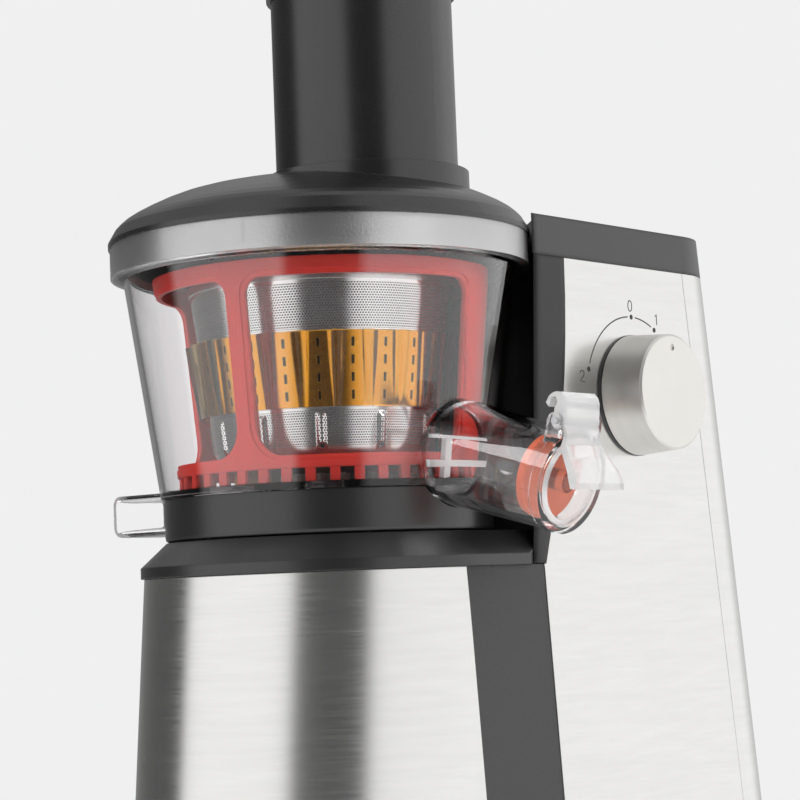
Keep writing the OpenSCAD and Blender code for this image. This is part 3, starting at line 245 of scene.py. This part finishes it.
def brushed_steel(name, direction, color, roughness):
    """Steel brushed along a direction: the grain is long there and fine across it."""
    s = Shader(name, color, metallic=1.0, roughness=roughness)
    s.bevel(0.35)
    vector, _ = s.place()
    stretch = tuple(0.02 if axis in direction else 1.0 for axis in "xyz")
    fine = s.noise(vector, 2.4, 3, stretch)
    broad = s.noise(vector, 0.35, 2, tuple(0.1 if v < 1 else 1.0 for v in stretch))
    s.rough(s.spread(fine, roughness - 0.07, roughness + 0.09))
    s.shade(broad, color, 0.94, 1.04)
    s.bump(fine, 0.12, 0.00004)
    return s.material


def black_plastic(name, color=(0.012, 0.012, 0.0125), roughness=0.30, grain=0.06, edge=0.8,
                  shine=0.85):
    """Smooth black plastic; edge is the radius in millimetres to which its edges look rounded."""
    s = Shader(name, color, roughness=roughness)
    s.set("Specular IOR Level", shine)
    s.bevel(edge)
    vector, _ = s.place()
    fine = s.noise(vector, 3.0, 2)
    s.rough(s.spread(s.noise(vector, 0.09, 3), roughness - 0.03, roughness + 0.05))
    s.bump(fine, grain, 0.00005)
    return s.material


def textured_black(name):
    """Dark grey plastic with a rough moulded grain."""
    s = Shader(name, (0.050, 0.050, 0.051), roughness=0.55)
    s.bevel(0.4)
    vector, _ = s.place()
    s.rough(s.spread(s.noise(vector, 1.2, 3), 0.48, 0.66))
    s.bump(s.noise(vector, 1.6, 4, roughness=0.7), 0.7, 0.00015)
    return s.material


def milky_plastic(name, tint, roughness, milk):
    """Clear plastic. The part milk of it scatters light instead, which makes it whitish."""
    s = Shader(name, tint, roughness=roughness, IOR=1.40)
    s.set("Transmission Weight", 1.0 - milk)
    vector, _ = s.place()
    s.rough(s.spread(s.noise(vector, 0.2, 2), roughness, roughness + 0.02))
    s.bump(s.noise(vector, 0.05, 2), 0.05, 0.0004)
    return s.material


def bowl_plastic():
    """Clear below, frosted and grey in the rim band, with painted shade that darkens the floor's
    underside.

    The coat gives the reflections. It fades out at the bowl's left side, which stays clear.
    """
    clear = (0.985, 0.975, 0.98)
    s = Shader("bowl_clear", clear, roughness=0.01, IOR=1.24)
    s.set("Coat IOR", 1.55)
    s.set("Coat Roughness", 0.01)
    vector, axes = s.place()
    turn = s.math("ARCTAN2", axes[1], axes[0])
    coat = s.spread(turn, 0.0, 1, math.radians(-124), math.radians(-112), smooth=True)
    s.link(coat, s.shader.inputs["Coat Weight"])
    frost = s.spread(axes[2], 0, 1, BAND - 0.6, BAND + 0.2, smooth=True)
    inner = s.math("LESS_THAN", s.radius(axes[0], axes[1]), 64.0)
    above = s.math("GREATER_THAN", axes[2], FLOOR - 2.6)
    below = s.math("LESS_THAN", axes[2], FLOOR + 0.1)
    # painted shade: the clear floor's underside is tinted dark grey (0.40, 0.36, 0.37) to stand for
    # the shade that falls there
    painted_floor_shade = s.math("MULTIPLY", below, s.math("MULTIPLY", above, inner))
    speckle = s.noise(vector, 1.1, 3)
    s.rough(s.math("MULTIPLY_ADD", frost, 0.28, s.spread(speckle, 0.005, 0.02)))
    tint = s.mix(frost, clear, (0.80, 0.80, 0.80))
    s.color(s.mix(painted_floor_shade, tint, (0.40, 0.36, 0.37)))
    s.link(s.math("MULTIPLY", frost, 0.45), s.shader.inputs["Metallic"])
    passing = s.math("SUBTRACT", 1.0, s.math("MULTIPLY", frost, 0.08))
    s.link(passing, s.shader.inputs["Transmission Weight"])
    s.bump(s.math("MULTIPLY", speckle, frost), 0.4, 0.0002)
    return s.material


def plain(name, color, roughness=0.4, metallic=0.0, grain=0.1, edge=0.3, vary=0.06, **sockets):
    """Moulded or turned material with slight variation and a fine grain."""
    s = Shader(name, color, metallic=metallic, roughness=roughness, **sockets)
    s.bevel(edge)
    vector, _ = s.place()
    cloud = s.noise(vector, 0.12, 3)
    s.shade(cloud, color, 1 - vary, 1 + vary)
    s.rough(s.spread(cloud, roughness - 0.04, roughness + 0.05))
    s.bump(s.noise(vector, 2.5, 2), grain, 0.00005)
    return s.material


def perforated(name, z0, z1):
    """Bright sheet with staggered round holes between two heights."""
    pitch, hole = 1.05, 0.30  # pitch in millimetres, radius of a hole in pitches
    steel = (0.92, 0.915, 0.90)
    s = Shader(name, steel, metallic=1.0, roughness=0.16)
    vector, axes = s.place()
    turn = s.math("ARCTAN2", axes[1], axes[0])
    u = s.math("MULTIPLY", turn, round(48 / pitch) * 1.0)
    w = s.math("DIVIDE", axes[2], pitch * math.sqrt(3))
    rings = []
    for shift in (0.0, 0.5):
        du = s.math("SUBTRACT", s.math("FRACT", s.math("ADD", u, shift + 400.0)), 0.5)
        dw = s.math("SUBTRACT", s.math("FRACT", s.math("ADD", w, shift)), 0.5)
        rings.append(s.radius(du, s.math("MULTIPLY", dw, math.sqrt(3))))
    near = s.math("MINIMUM", rings[0], rings[1])
    dot = s.spread(near, 1, 0, hole - 0.06, hole + 0.06)
    inside = s.math("MULTIPLY", s.math("GREATER_THAN", axes[2], z0),
                    s.math("LESS_THAN", axes[2], z1))
    mask = s.math("MULTIPLY", dot, inside)
    s.color(s.mix(mask, steel, (0.015, 0.014, 0.013)))
    s.link(s.math("SUBTRACT", 1.0, mask), s.shader.inputs["Metallic"])
    s.rough(s.math("MULTIPLY_ADD", mask, 0.5, 0.16))
    return s.material


def amber():
    """Clear amber plastic, seen as a thin tinted layer over the steel."""
    s = Shader("amber", (1.0, 0.66, 0.16), roughness=0.03, IOR=1.45)
    s.set("Transmission Weight", 1.0)
    vector, _ = s.place()
    s.color(s.mix(s.spread(s.noise(vector, 0.12, 2), 0, 1), (0.99, 0.61, 0.12), (1.0, 0.70, 0.20)))
    s.bump(s.noise(vector, 0.3, 2), 0.1, 0.0003)
    return s.material


def slotted_steel():
    """Bright liner behind the amber band, with columns of short upright slots."""
    steel = (0.90, 0.89, 0.87)
    s = Shader("sieve_liner", steel, metallic=1.0, roughness=0.18)
    vector, axes = s.place()
    turn = s.math("MULTIPLY", s.math("ARCTAN2", axes[1], axes[0]), 180 / math.pi)
    steps_round = s.math("DIVIDE", s.math("ADD", turn, 365 + 7.5), 15)
    column = s.math("SUBTRACT", s.math("FRACT", steps_round), 0.5)
    steps_up = s.math("DIVIDE", s.math("SUBTRACT", axes[2], AMBER_Z + 1.2), 6.3)
    row = s.math("SUBTRACT", s.math("FRACT", steps_up), 0.5)
    across = s.spread(s.math("ABSOLUTE", column), 1, 0, 0.035, 0.055)
    upward = s.spread(s.math("ABSOLUTE", row), 1, 0, 0.24, 0.28)
    slots = s.math("MULTIPLY", across, upward)
    s.color(s.mix(slots, steel, (0.01, 0.008, 0.006)))
    s.link(s.math("SUBTRACT", 1.0, slots), s.shader.inputs["Metallic"])
    s.rough(s.math("MULTIPLY_ADD", slots, 0.5, s.spread(s.noise(vector, 0.5, 2), 0.14, 0.22)))
    return s.material


def cap_plastic():
    """Juice cap: clear disc with a paler rim, and a whitish lever that stands off the mouth."""
    s = Shader("clear_cap", (0.97, 0.97, 0.975), roughness=0.05, IOR=1.40)
    vector, axes = s.place()
    dx = s.math("SUBTRACT", axes[0], MOUTH[0])
    dz = s.math("SUBTRACT", axes[2], MOUTH[1])
    cosine, sine = math.cos(SPOUT_SLOPE), math.sin(SPOUT_SLOPE)
    out = s.math("SUBTRACT", s.math("MULTIPLY", dx, cosine), s.math("MULTIPLY", dz, sine))
    rise = s.math("ADD", s.math("MULTIPLY", dx, sine), s.math("MULTIPLY", dz, cosine))
    lever = s.math("MAXIMUM", s.math("GREATER_THAN", out, 0.6), s.math("GREATER_THAN", rise, 16.0))
    rim = s.spread(s.radius(axes[1], rise), 0, 1, 13.0, 13.4)
    milk = s.math("MAXIMUM", s.math("MULTIPLY", lever, 0.45), s.math("MULTIPLY", rim, 0.30))
    s.link(s.math("SUBTRACT", 1.0, milk), s.shader.inputs["Transmission Weight"])
    s.color(s.mix(lever, (0.985, 0.98, 0.98), (0.985, 0.985, 0.985)))
    s.bump(s.noise(vector, 0.05, 2), 0.05, 0.0004)
    return s.material


STEEL = brushed_steel("steel_brushed", "xy", (0.78, 0.775, 0.76), 0.22)
KNOB_STEEL = brushed_steel("steel_knob", "yz", (0.80, 0.785, 0.75), 0.38)
BLACK = black_plastic("black_satin")
HOUSING = black_plastic("black_housing", (0.016, 0.0155, 0.016), 0.38, edge=3.5, shine=0.5)
CAP_BLACK = black_plastic("black_cap", (0.018, 0.018, 0.018), 0.32, edge=3.0)
LID_BLACK = black_plastic("black_lid", (0.010, 0.010, 0.0105), 0.26, 0.04, 0.6)
TRIM = textured_black("black_textured")
RUBBER = plain("rubber_black", (0.02, 0.02, 0.02), 0.7, grain=0.3)
BOWL = bowl_plastic()
CLEAR = cap_plastic()
GUARD = milky_plastic("clear_guard", (0.98, 0.98, 0.98), 0.1, 0.85)
RED = plain("red_plastic", (0.90, 0.046, 0.030), 0.30, edge=0.5, vary=0.05)
RED_SOFT = plain("red_silicone", (0.60, 0.05, 0.04), 0.5)
ORANGE = plain("orange_silicone", (0.95, 0.145, 0.025), 0.45, vary=0.05)
AMBER = amber()
AMBER_SOLID = plain("amber_solid", (0.62, 0.24, 0.03), 0.25)
LINER = slotted_steel()
MESH_TOP = perforated("sieve_top", 260.1, 276.6)
MESH_LOW = perforated("sieve_low", FLOOR + 13.5, 231.0)
AUGER = plain("auger_brown", (0.10, 0.030, 0.012), 0.30, edge=0.5)
WHITE = plain("white_plastic", (0.80, 0.80, 0.77), 0.45)
GREY = plain("grey_plastic", (0.42, 0.42, 0.42), 0.5)
SOFT_GREY = plain("grey_silicone", (0.55, 0.55, 0.55), 0.5)
ZINC = plain("zinc", (0.55, 0.56, 0.58), 0.35, 1.0)
CAST = plain("cast_metal", (0.45, 0.46, 0.48), 0.5, 0.9, grain=0.5)
COPPER = plain("copper", (0.60, 0.28, 0.12), 0.4, 0.9)
BOARD = plain("board", (0.03, 0.22, 0.08), 0.45)
INK = plain("ink", (0.03, 0.03, 0.03), 0.5)

FINISH = {
    STEEL: ["front_wrap", "side_panel_right", "side_panel_left", "rear_wrap", "sieve_rim"],
    KNOB_STEEL: ["knob"],
    HOUSING: ["housing"],
    CAP_BLACK: ["tower_cap"],
    BLACK: ["base_plate", "back_plate", "deck", "bowl_collar", "knob_ring", "reed_switch"],
    LID_BLACK: ["lid", "pusher"],
    TRIM: ["side_trims"],
    RUBBER: ["rubber_feet", "cord_gland", "shaft_seal"],
    BOWL: ["bowl", "juice_spout"],
    GUARD: ["spout_guard"],
    CLEAR: ["juice_cap"],
    RED: ["brush_frame"],
    RED_SOFT: ["brush_wipers"],
    ORANGE: ["cap_plug", "pulp_gate"],
    AMBER_SOLID: ["sieve_band", "sieve_floor"],
    MESH_TOP: ["sieve_upper"],
    MESH_LOW: ["sieve_lower"],
    AUGER: ["auger"],
    WHITE: ["cooling_fan", "reduction_gear", "output_gear", "idler_gear", "auger_gear", "lid_bush"],
    GREY: ["rotary_switch"],
    SOFT_GREY: ["lid_seal"],
    ZINC: ["base_screws", "switch_shaft", "motor_rotor", "motor_bearings", "gearbox_screws",
           "motor_pinion", "gear_pin", "drive_shaft", "shaft_bearings", "cap_pin", "idler_clip",
           "lid_magnet"],
    CAST: ["motor_case", "gearbox_housing", "gearbox_cover"],
    COPPER: ["motor_stator"],
    BOARD: ["control_board"],
}
for material, names in FINISH.items():
    for name in names:
        nodes[name].data.materials.clear()
        nodes[name].data.materials.append(material)


# ---------------------------------------------------------------- pieces

def piece(name, data, material, body, slot, *replaced, smooth=True):
    """Links a finished mesh as a piece that rides on a body and may replace nodes."""
    made = bpy.data.objects.new(name, data)
    bpy.context.scene.collection.objects.link(made)
    data.materials.clear()
    data.materials.append(material)
    if smooth:
        data.shade_smooth()
    if replaced:
        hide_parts(*replaced)
    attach(made, body)
    return made


def polar(angle, radius, z):
    """Point in metres from an angle in degrees, a radius and a height in millimetres."""
    turn = math.radians(angle)
    return at(radius * math.cos(turn), radius * math.sin(turn), z)


def shell(name, inner, outer, heights, steps=480):
    """Closed ring whose inner and outer radius are functions of the angle and the height."""
    mesh = bpy.data.meshes.new(name)
    rows = [(outer, z) for z in heights] + [(inner, z) for z in reversed(heights)]
    angles = [360 * i / steps for i in range(steps)]
    verts = [polar(angle, radius(angle, z), z) for radius, z in rows for angle in angles]
    count = len(rows)
    faces = [(j * steps + i, j * steps + (i + 1) % steps, (j + 1) % count * steps + (i + 1) % steps,
              (j + 1) % count * steps + i) for j in range(count) for i in range(steps)]
    mesh.from_pydata(verts, [], faces)
    mesh.update()
    shape = bmesh.new()
    shape.from_mesh(mesh)
    bmesh.ops.recalc_face_normals(shape, faces=shape.faces)
    for edge in shape.edges:
        if len(edge.link_faces) == 2 and edge.calc_face_angle(0) > 0.7:
            edge.smooth = False
    shape.to_mesh(mesh)
    shape.free()
    mesh.shade_smooth()
    return mesh


def round_corners(points, steps=6):
    """Points given as (x, y, radius); each corner becomes an arc."""
    path = []
    for i, (x, y, radius) in enumerate(points):
        if radius <= 0:
            path.append((x, y))
            continue
        here = Vector((x, y))
        back = (Vector(points[i - 1][:2]) - here).normalized()
        on = (Vector(points[(i + 1) % len(points)][:2]) - here).normalized()
        half = back.angle(on) / 2
        reach = radius / math.tan(half)
        centre = here + (back + on).normalized() * radius / math.sin(half)
        first, last = here + back * reach - centre, here + on * reach - centre
        turn = first.angle_signed(last)
        for k in range(steps + 1):
            arm = first.copy()
            arm.rotate(Matrix.Rotation(-turn * k / steps, 2))
            path.append(tuple(centre + arm))
    return path


def wrapped(name, loops, inner, outer):
    """Plate drawn as loops of (x, z) in millimetres, wrapped round the brush frame's cone.

    inner and outer are the places of its faces, in millimetres from the cone.
    """
    curve = bpy.data.curves.new(name, "CURVE")
    curve.dimensions = "2D"
    curve.fill_mode = "BOTH"
    curve.extrude = 0.5
    for loop in loops:
        spline = curve.splines.new("POLY")
        spline.points.add(len(loop) - 1)
        for point, (x, y) in zip(spline.points, loop):
            point.co = (x, y, 0, 1)
        spline.use_cyclic_u = True
    holder = bpy.data.objects.new(name + "_flat", curve)
    bpy.context.scene.collection.objects.link(holder)
    bpy.context.view_layer.update()
    mesh = bpy.data.meshes.new_from_object(holder)
    bpy.data.objects.remove(holder)
    shape = bmesh.new()
    shape.from_mesh(mesh)
    bmesh.ops.remove_doubles(shape, verts=shape.verts, dist=0.0001)
    for angle in range(3, 360, 3):
        cut = (BRUSH_SEAM - 360 + angle) * ARC_SCALE
        bmesh.ops.bisect_plane(shape, geom=shape.verts[:] + shape.edges[:] + shape.faces[:],
                               plane_co=(cut, 0, 0), plane_no=(1, 0, 0))
    for vert in shape.verts:
        x, z, depth = vert.co
        vert.co = polar(x / ARC_SCALE, brush_r(z) + (outer if depth > 0 else inner), z)
    bmesh.ops.remove_doubles(shape, verts=shape.verts, dist=0.000001)
    bmesh.ops.recalc_face_normals(shape, faces=shape.faces)
    shape.to_mesh(mesh)
    shape.free()
    return mesh


def brush_windows(grow):
    """Loops of the brush frame's four windows, each grown on all sides."""
    loops = []
    low_z, high_z = RING_Z + 4.6 - grow, BRUSH_TOP - 6.4 + grow
    for k in range(4):
        left = POSTS[k][0] + POSTS[k][1] / 2
        right = POSTS[(k + 1) % 4][0] - POSTS[(k + 1) % 4][1] / 2
        while right > BRUSH_SEAM:
            left, right = left - 360, right - 360
        if right < left:
            left -= 360
        left, right = left * ARC_SCALE - grow, right * ARC_SCALE + grow
        loops.append(round_corners([(left, low_z, 11 + grow), (right, low_z, 11 + grow),
                                    (right, high_z, 6 + grow), (left, high_z, 6 + grow)]))
    return loops


def brush_frame():
    """Red frame with four windows and forty comb teeth, and a raised skin set back round them."""
    start, end = (BRUSH_SEAM - 360) * ARC_SCALE, BRUSH_SEAM * ARC_SCALE
    tooth = 3.9 / 2
    tip = RING_Z - 4.9
    low_edge = [(start, RING_Z)]
    for k in range(40):
        middle = (-252 + 9 * k) * ARC_SCALE
        low_edge += round_corners([(middle - tooth, RING_Z, 0), (middle - tooth, tip, 0.7),
                                   (middle + tooth, tip, 0.7), (middle + tooth, RING_Z, 0)], 3)
    outline = low_edge + [(end, RING_Z), (end, BRUSH_TOP), (start, BRUSH_TOP)]
    body = wrapped("brush_frame_body", [outline] + brush_windows(0.0), -2.8, -0.6)
    piece("brush_frame_body", body, RED, "brush", "red_plastic", "brush_frame", smooth=False)
    low_z, high_z = RING_Z + 0.2, BRUSH_TOP - 0.2
    edge = [(start, low_z), (end, low_z), (end, high_z), (start, high_z)]
    skin = wrapped("brush_frame_skin", [edge] + brush_windows(1.7), -0.7, 0.0)
    piece("brush_frame_skin", skin, RED, "brush", "red_plastic", smooth=False)


def smooth_pulse(value):
    """1 in the middle, 0 from one unit away on, smooth between."""
    value = min(1.0, abs(value))
    return (1 - value * value) ** 2


def sieve_pieces():
    """Slotted liner, ribbed amber band over it, and the lower sieve with its pressed ribs."""
    low, high = AMBER_Z + 0.05, AMBER_Z + 27.25
    rows = [low + (high - low) * k / 14 for k in range(15)]
    liner = shell("sieve_liner", lambda a, z: sieve_r(z) - 0.6, lambda a, z: sieve_r(z) + 0.9,
                  [low, high], 180)
    piece("sieve_liner", liner, LINER, "bowl", "steel", "sieve_band")

    def ribbed(angle, z):
        part = (z - low) / (high - low)
        away = (angle + 57.5 + 367.5) % 15 - 7.5
        half = 1.2 + 2.6 * part ** 0.7
        return sieve_r(z) + 3.3 + 1.4 * smooth_pulse(away / half) * min(1.0, 0.35 + part)

    band = shell("sieve_amber", lambda a, z: sieve_r(z) + 1.2, ribbed, rows)
    piece("sieve_amber", band, AMBER, "bowl", "amber_plastic")

    foot = bottom("sieve_lower")
    rows = [foot + (AMBER_Z - foot) * k / 22 for k in range(23)]

    def pressed(angle, z):
        away = (angle + 50 + 375) % 30 - 15
        low_end = min(1.0, max(0.0, (z - foot - 2.0) / 1.6))
        high_end = min(1.0, max(0.0, (AMBER_Z - 1.6 - z) / 1.6))
        return 0.9 * smooth_pulse(away / 2.6) ** 0.6 * (low_end * high_end)

    mesh = shell("sieve_lower_skin", lambda a, z: sieve_r(z) - 0.6 + pressed(a, z),
                 lambda a, z: sieve_r(z) + pressed(a, z), rows, 720)
    piece("sieve_lower_skin", mesh, MESH_LOW, "bowl", "steel", "sieve_lower")


def ribbon(name, strokes, width, frame_at):
    """Flat strokes of ink. Each stroke is a list of (u, v) in the panel's plane."""
    shape = bmesh.new()
    for stroke in strokes:
        rims = []
        for i, point in enumerate(stroke):
            here = Vector(point)
            before = Vector(stroke[max(0, i - 1)])
            after = Vector(stroke[min(len(stroke) - 1, i + 1)])
            across = (after - before).normalized().orthogonal() * width / 2
            rims.append([shape.verts.new(frame_at(here + across * side, lift)) for side, lift in
                         ((-1, 0.0), (-1, 0.05), (1, 0.05), (1, 0.0))])
        for a, b in zip(rims, rims[1:]):
            for k in range(4):
                shape.faces.new((a[k], a[(k + 1) % 4], b[(k + 1) % 4], b[k]))
        shape.faces.new(rims[0])
        shape.faces.new(reversed(rims[-1]))
    bmesh.ops.recalc_face_normals(shape, faces=shape.faces)
    mesh = bpy.data.meshes.new(name)
    shape.to_mesh(mesh)
    shape.free()
    return mesh


def disc(name, centre, radius, frame_at):
    """Flat dot of ink in the panel's plane."""
    sides = 24
    turns = [2 * math.pi * k / sides for k in range(sides)]
    spots = [Vector(centre) + Vector((math.cos(t), math.sin(t))) * radius for t in turns]
    shape = bmesh.new()
    rims = [[shape.verts.new(frame_at(spot, lift)) for spot in spots] for lift in (0.0, 0.05)]
    for k in range(sides):
        on = (k + 1) % sides
        shape.faces.new((rims[0][k], rims[0][on], rims[1][on], rims[1][k]))
    shape.faces.new(rims[1])
    shape.faces.new(reversed(rims[0]))
    bmesh.ops.recalc_face_normals(shape, faces=shape.faces)
    mesh = bpy.data.meshes.new(name)
    shape.to_mesh(mesh)
    shape.free()
    return mesh


def dial_marks():
    """Arc, dots and plain digits round the knob; u runs to the back and v up on the panel."""
    def on_panel(point, lift):
        return at(PANEL_X + lift, KNOB_Y + point[0], KNOB_Z + point[1])

    def spot(angle, radius=31.0):
        return (radius * math.cos(math.radians(angle)), radius * math.sin(math.radians(angle)))

    def arc(start, end):
        return [spot(start + (end - start) * k / 24) for k in range(25)]

    def mark(name, mesh):
        piece(name, mesh, INK, "base", "rubber", smooth=False)

    places = {"2": 163.0, "0": 89.5, "1": 59.5}
    digit_places = {"2": (169.5, 34.6), "0": (90.5, 35.4), "1": (60.5, 35.6)}
    lines = [arc(158.5, 94.0), arc(85.0, 64.0)]
    mark("dial_arc", ribbon("dial_arc", lines, 0.5, on_panel))
    for digit, angle in places.items():
        name = "dial_dot_" + digit
        mark(name, disc(name, spot(angle), 1.0, on_panel))
    h, w = 2.1, 1.3  # half height and half width of a digit
    turns = [2 * math.pi * k / 24 for k in range(25)]
    shapes = {
        "0": [[(w * math.cos(t), h * math.sin(t)) for t in turns]],
        "1": [[(-0.8, 1.3), (0.2, h), (0.2, -h)]],
        "2": [[(-w, 1.1), (-0.9, 1.8), (0, h), (0.9, 1.8), (w, 1.0), (0.9, 0.1), (-w, -h), (w, -h)]],
    }
    for digit, strokes in shapes.items():
        middle = Vector(spot(*digit_places[digit]))
        moved = [[tuple(Vector(p) + middle) for p in stroke] for stroke in strokes]
        name = "dial_digit_" + digit
        mark(name, ribbon(name, moved, 0.42, on_panel))


brush_frame()
sieve_pieces()
dial_marks()


# ---------------------------------------------------------------- studio

def studio():
    """World, floor and lamps."""
    scene = bpy.context.scene
    scene.view_settings.view_transform = "Standard"
    world = bpy.data.worlds.new("studio")
    scene.world = world
    world.use_nodes = True
    tree = world.node_tree
    tree.nodes.clear()

    def node(kind, **settings):
        made = tree.nodes.new(kind)
        for key, value in settings.items():
            setattr(made, key, value)
        return made

    out = node("ShaderNodeOutputWorld")
    rays = node("ShaderNodeLightPath")
    coord = node("ShaderNodeTexCoord")
    split = node("ShaderNodeSeparateXYZ")
    tree.links.new(coord.outputs["Generated"], split.inputs[0])
    turn = node("ShaderNodeMath", operation="ARCTAN2")
    tree.links.new(split.outputs[1], turn.inputs[0])
    tree.links.new(split.outputs[0], turn.inputs[1])
    around = node("ShaderNodeMapRange")
    around.inputs["From Min"].default_value = -math.pi
    around.inputs["From Max"].default_value = math.pi
    tree.links.new(turn.outputs[0], around.inputs["Value"])

    def bands(stops):
        """Grey levels round the horizon, given as (degrees, level)."""
        made = node("ShaderNodeValToRGB")
        ramp = made.color_ramp
        while len(ramp.elements) < len(stops):
            ramp.elements.new(0.5)
        for element, (degrees, level) in zip(ramp.elements, stops):
            element.position = (degrees + 180) / 360
            element.color = (level, level, level, 1)
        tree.links.new(around.outputs[0], made.inputs["Fac"])
        return made.outputs[0]

    # the reflected room: bright and dark screens round the horizon, paler high above
    screens = bands([(-180, 0.10), (-146, 0.06), (-140, 1.08), (-72, 1.08), (-66, 0.09),
                     (-27, 0.07), (-19, 1.0), (55, 1.08), (74, 1.10), (90, 0.74), (134, 0.34),
                     (165, 0.14), (180, 0.10)])
    ceiling = bands([(-180, 0.50), (-142, 0.55), (-120, 0.85), (-75, 0.70), (-66, 0.14),
                     (-26, 0.12), (-12, 0.75), (105, 0.80), (180, 0.50)])
    height = node("ShaderNodeMapRange", interpolation_type="SMOOTHSTEP")
    height.inputs["From Min"].default_value = 0.30
    height.inputs["From Max"].default_value = 0.70
    tree.links.new(split.outputs[2], height.inputs["Value"])
    room = node("ShaderNodeMix", data_type="RGBA")
    tree.links.new(height.outputs[0], room.inputs["Factor"])
    tree.links.new(screens, room.inputs[6])
    tree.links.new(ceiling, room.inputs[7])
    reflected = node("ShaderNodeBackground")
    tree.links.new(room.outputs[2], reflected.inputs["Color"])
    reflected.inputs["Strength"].default_value = 1.0
    backdrop = node("ShaderNodeBackground")
    backdrop.inputs["Color"].default_value = (0.87, 0.87, 0.875, 1)
    diffuse = node("ShaderNodeBackground")
    diffuse.inputs["Color"].default_value = (1, 1, 1, 1)

    def calc(operation, one, two, clamp=False):
        made = node("ShaderNodeMath", operation=operation, use_clamp=clamp)
        for socket, source in zip(made.inputs, (one, two)):
            if isinstance(source, float):
                socket.default_value = source
            else:
                tree.links.new(source, socket)
        return made.outputs[0]

    # a reflection keeps showing the room where it goes on through the clear bowl
    mirrored = calc("GREATER_THAN", rays.outputs["Glossy Depth"], 0.5)
    lit = calc("GREATER_THAN", rays.outputs["Diffuse Depth"], 0.5)
    # light that comes in through clear plastic is made up for what the plastic takes from it
    inside = node("ShaderNodeMath", operation="MULTIPLY_ADD")
    tree.links.new(rays.outputs["Is Transmission Ray"], inside.inputs[0])
    inside.inputs[1].default_value = 1.35
    inside.inputs[2].default_value = 0.55
    tree.links.new(inside.outputs[0], diffuse.inputs["Strength"])
    first = node("ShaderNodeMixShader")
    tree.links.new(calc("MAXIMUM", rays.outputs["Is Glossy Ray"], mirrored), first.inputs[0])
    tree.links.new(diffuse.outputs[0], first.inputs[1])
    tree.links.new(reflected.outputs[0], first.inputs[2])
    direct = calc("SUBTRACT", rays.outputs["Is Transmission Ray"], mirrored, True)
    through = calc("SUBTRACT", direct, lit, True)
    seen = calc("ADD", rays.outputs["Is Camera Ray"], through, True)
    second = node("ShaderNodeMixShader")
    tree.links.new(seen, second.inputs[0])
    tree.links.new(first.outputs[0], second.inputs[1])
    tree.links.new(backdrop.outputs[0], second.inputs[2])
    tree.links.new(second.outputs[0], out.inputs["Surface"])

    # a round floor that fades out from 300 to 800 mm from the bowl's axis
    mesh = bpy.data.meshes.new("floor")
    turns = [math.radians(5 * k) for k in range(72)]
    ring = [(0.9 * math.cos(t), 0.9 * math.sin(t), 0) for t in turns]
    mesh.from_pydata(ring, [], [tuple(range(72))])
    floor = bpy.data.objects.new("floor", mesh)
    floor.location.z = -0.0005
    scene.collection.objects.link(floor)
    s = Shader("floor", (0.84, 0.84, 0.845), roughness=0.9)
    s.set("Specular IOR Level", 0.1)
    vector, axes = s.place()
    s.bump(s.noise(vector, 0.02, 2), 0.02, 0.001)
    away = s.radius(axes[0], axes[1])
    s.link(s.spread(away, 1, 0, 300, 800, smooth=True), s.shader.inputs["Alpha"])
    mesh.materials.append(s.material)

    def lamp(name, location, target_z, size, power):
        data = bpy.data.lights.new(name, "AREA")
        data.shape = "DISK"
        data.size = size
        data.energy = power
        made = bpy.data.objects.new(name, data)
        scene.collection.objects.link(made)
        made.location = location
        made.visible_glossy = False
        aim = Vector((0, 0, target_z)) - Vector(location)
        made.rotation_euler = aim.to_track_quat("-Z", "Y").to_euler()

    lamp("key", (-0.8, -1.1, 1.5), 0.25, 1.0, 16)
    lamp("fill", (1.5, 0.1, 1.0), 0.25, 1.0, 10)
    lamp("over", (0.1, 0.3, 1.9), 0.3, 1.2, 12)


studio()
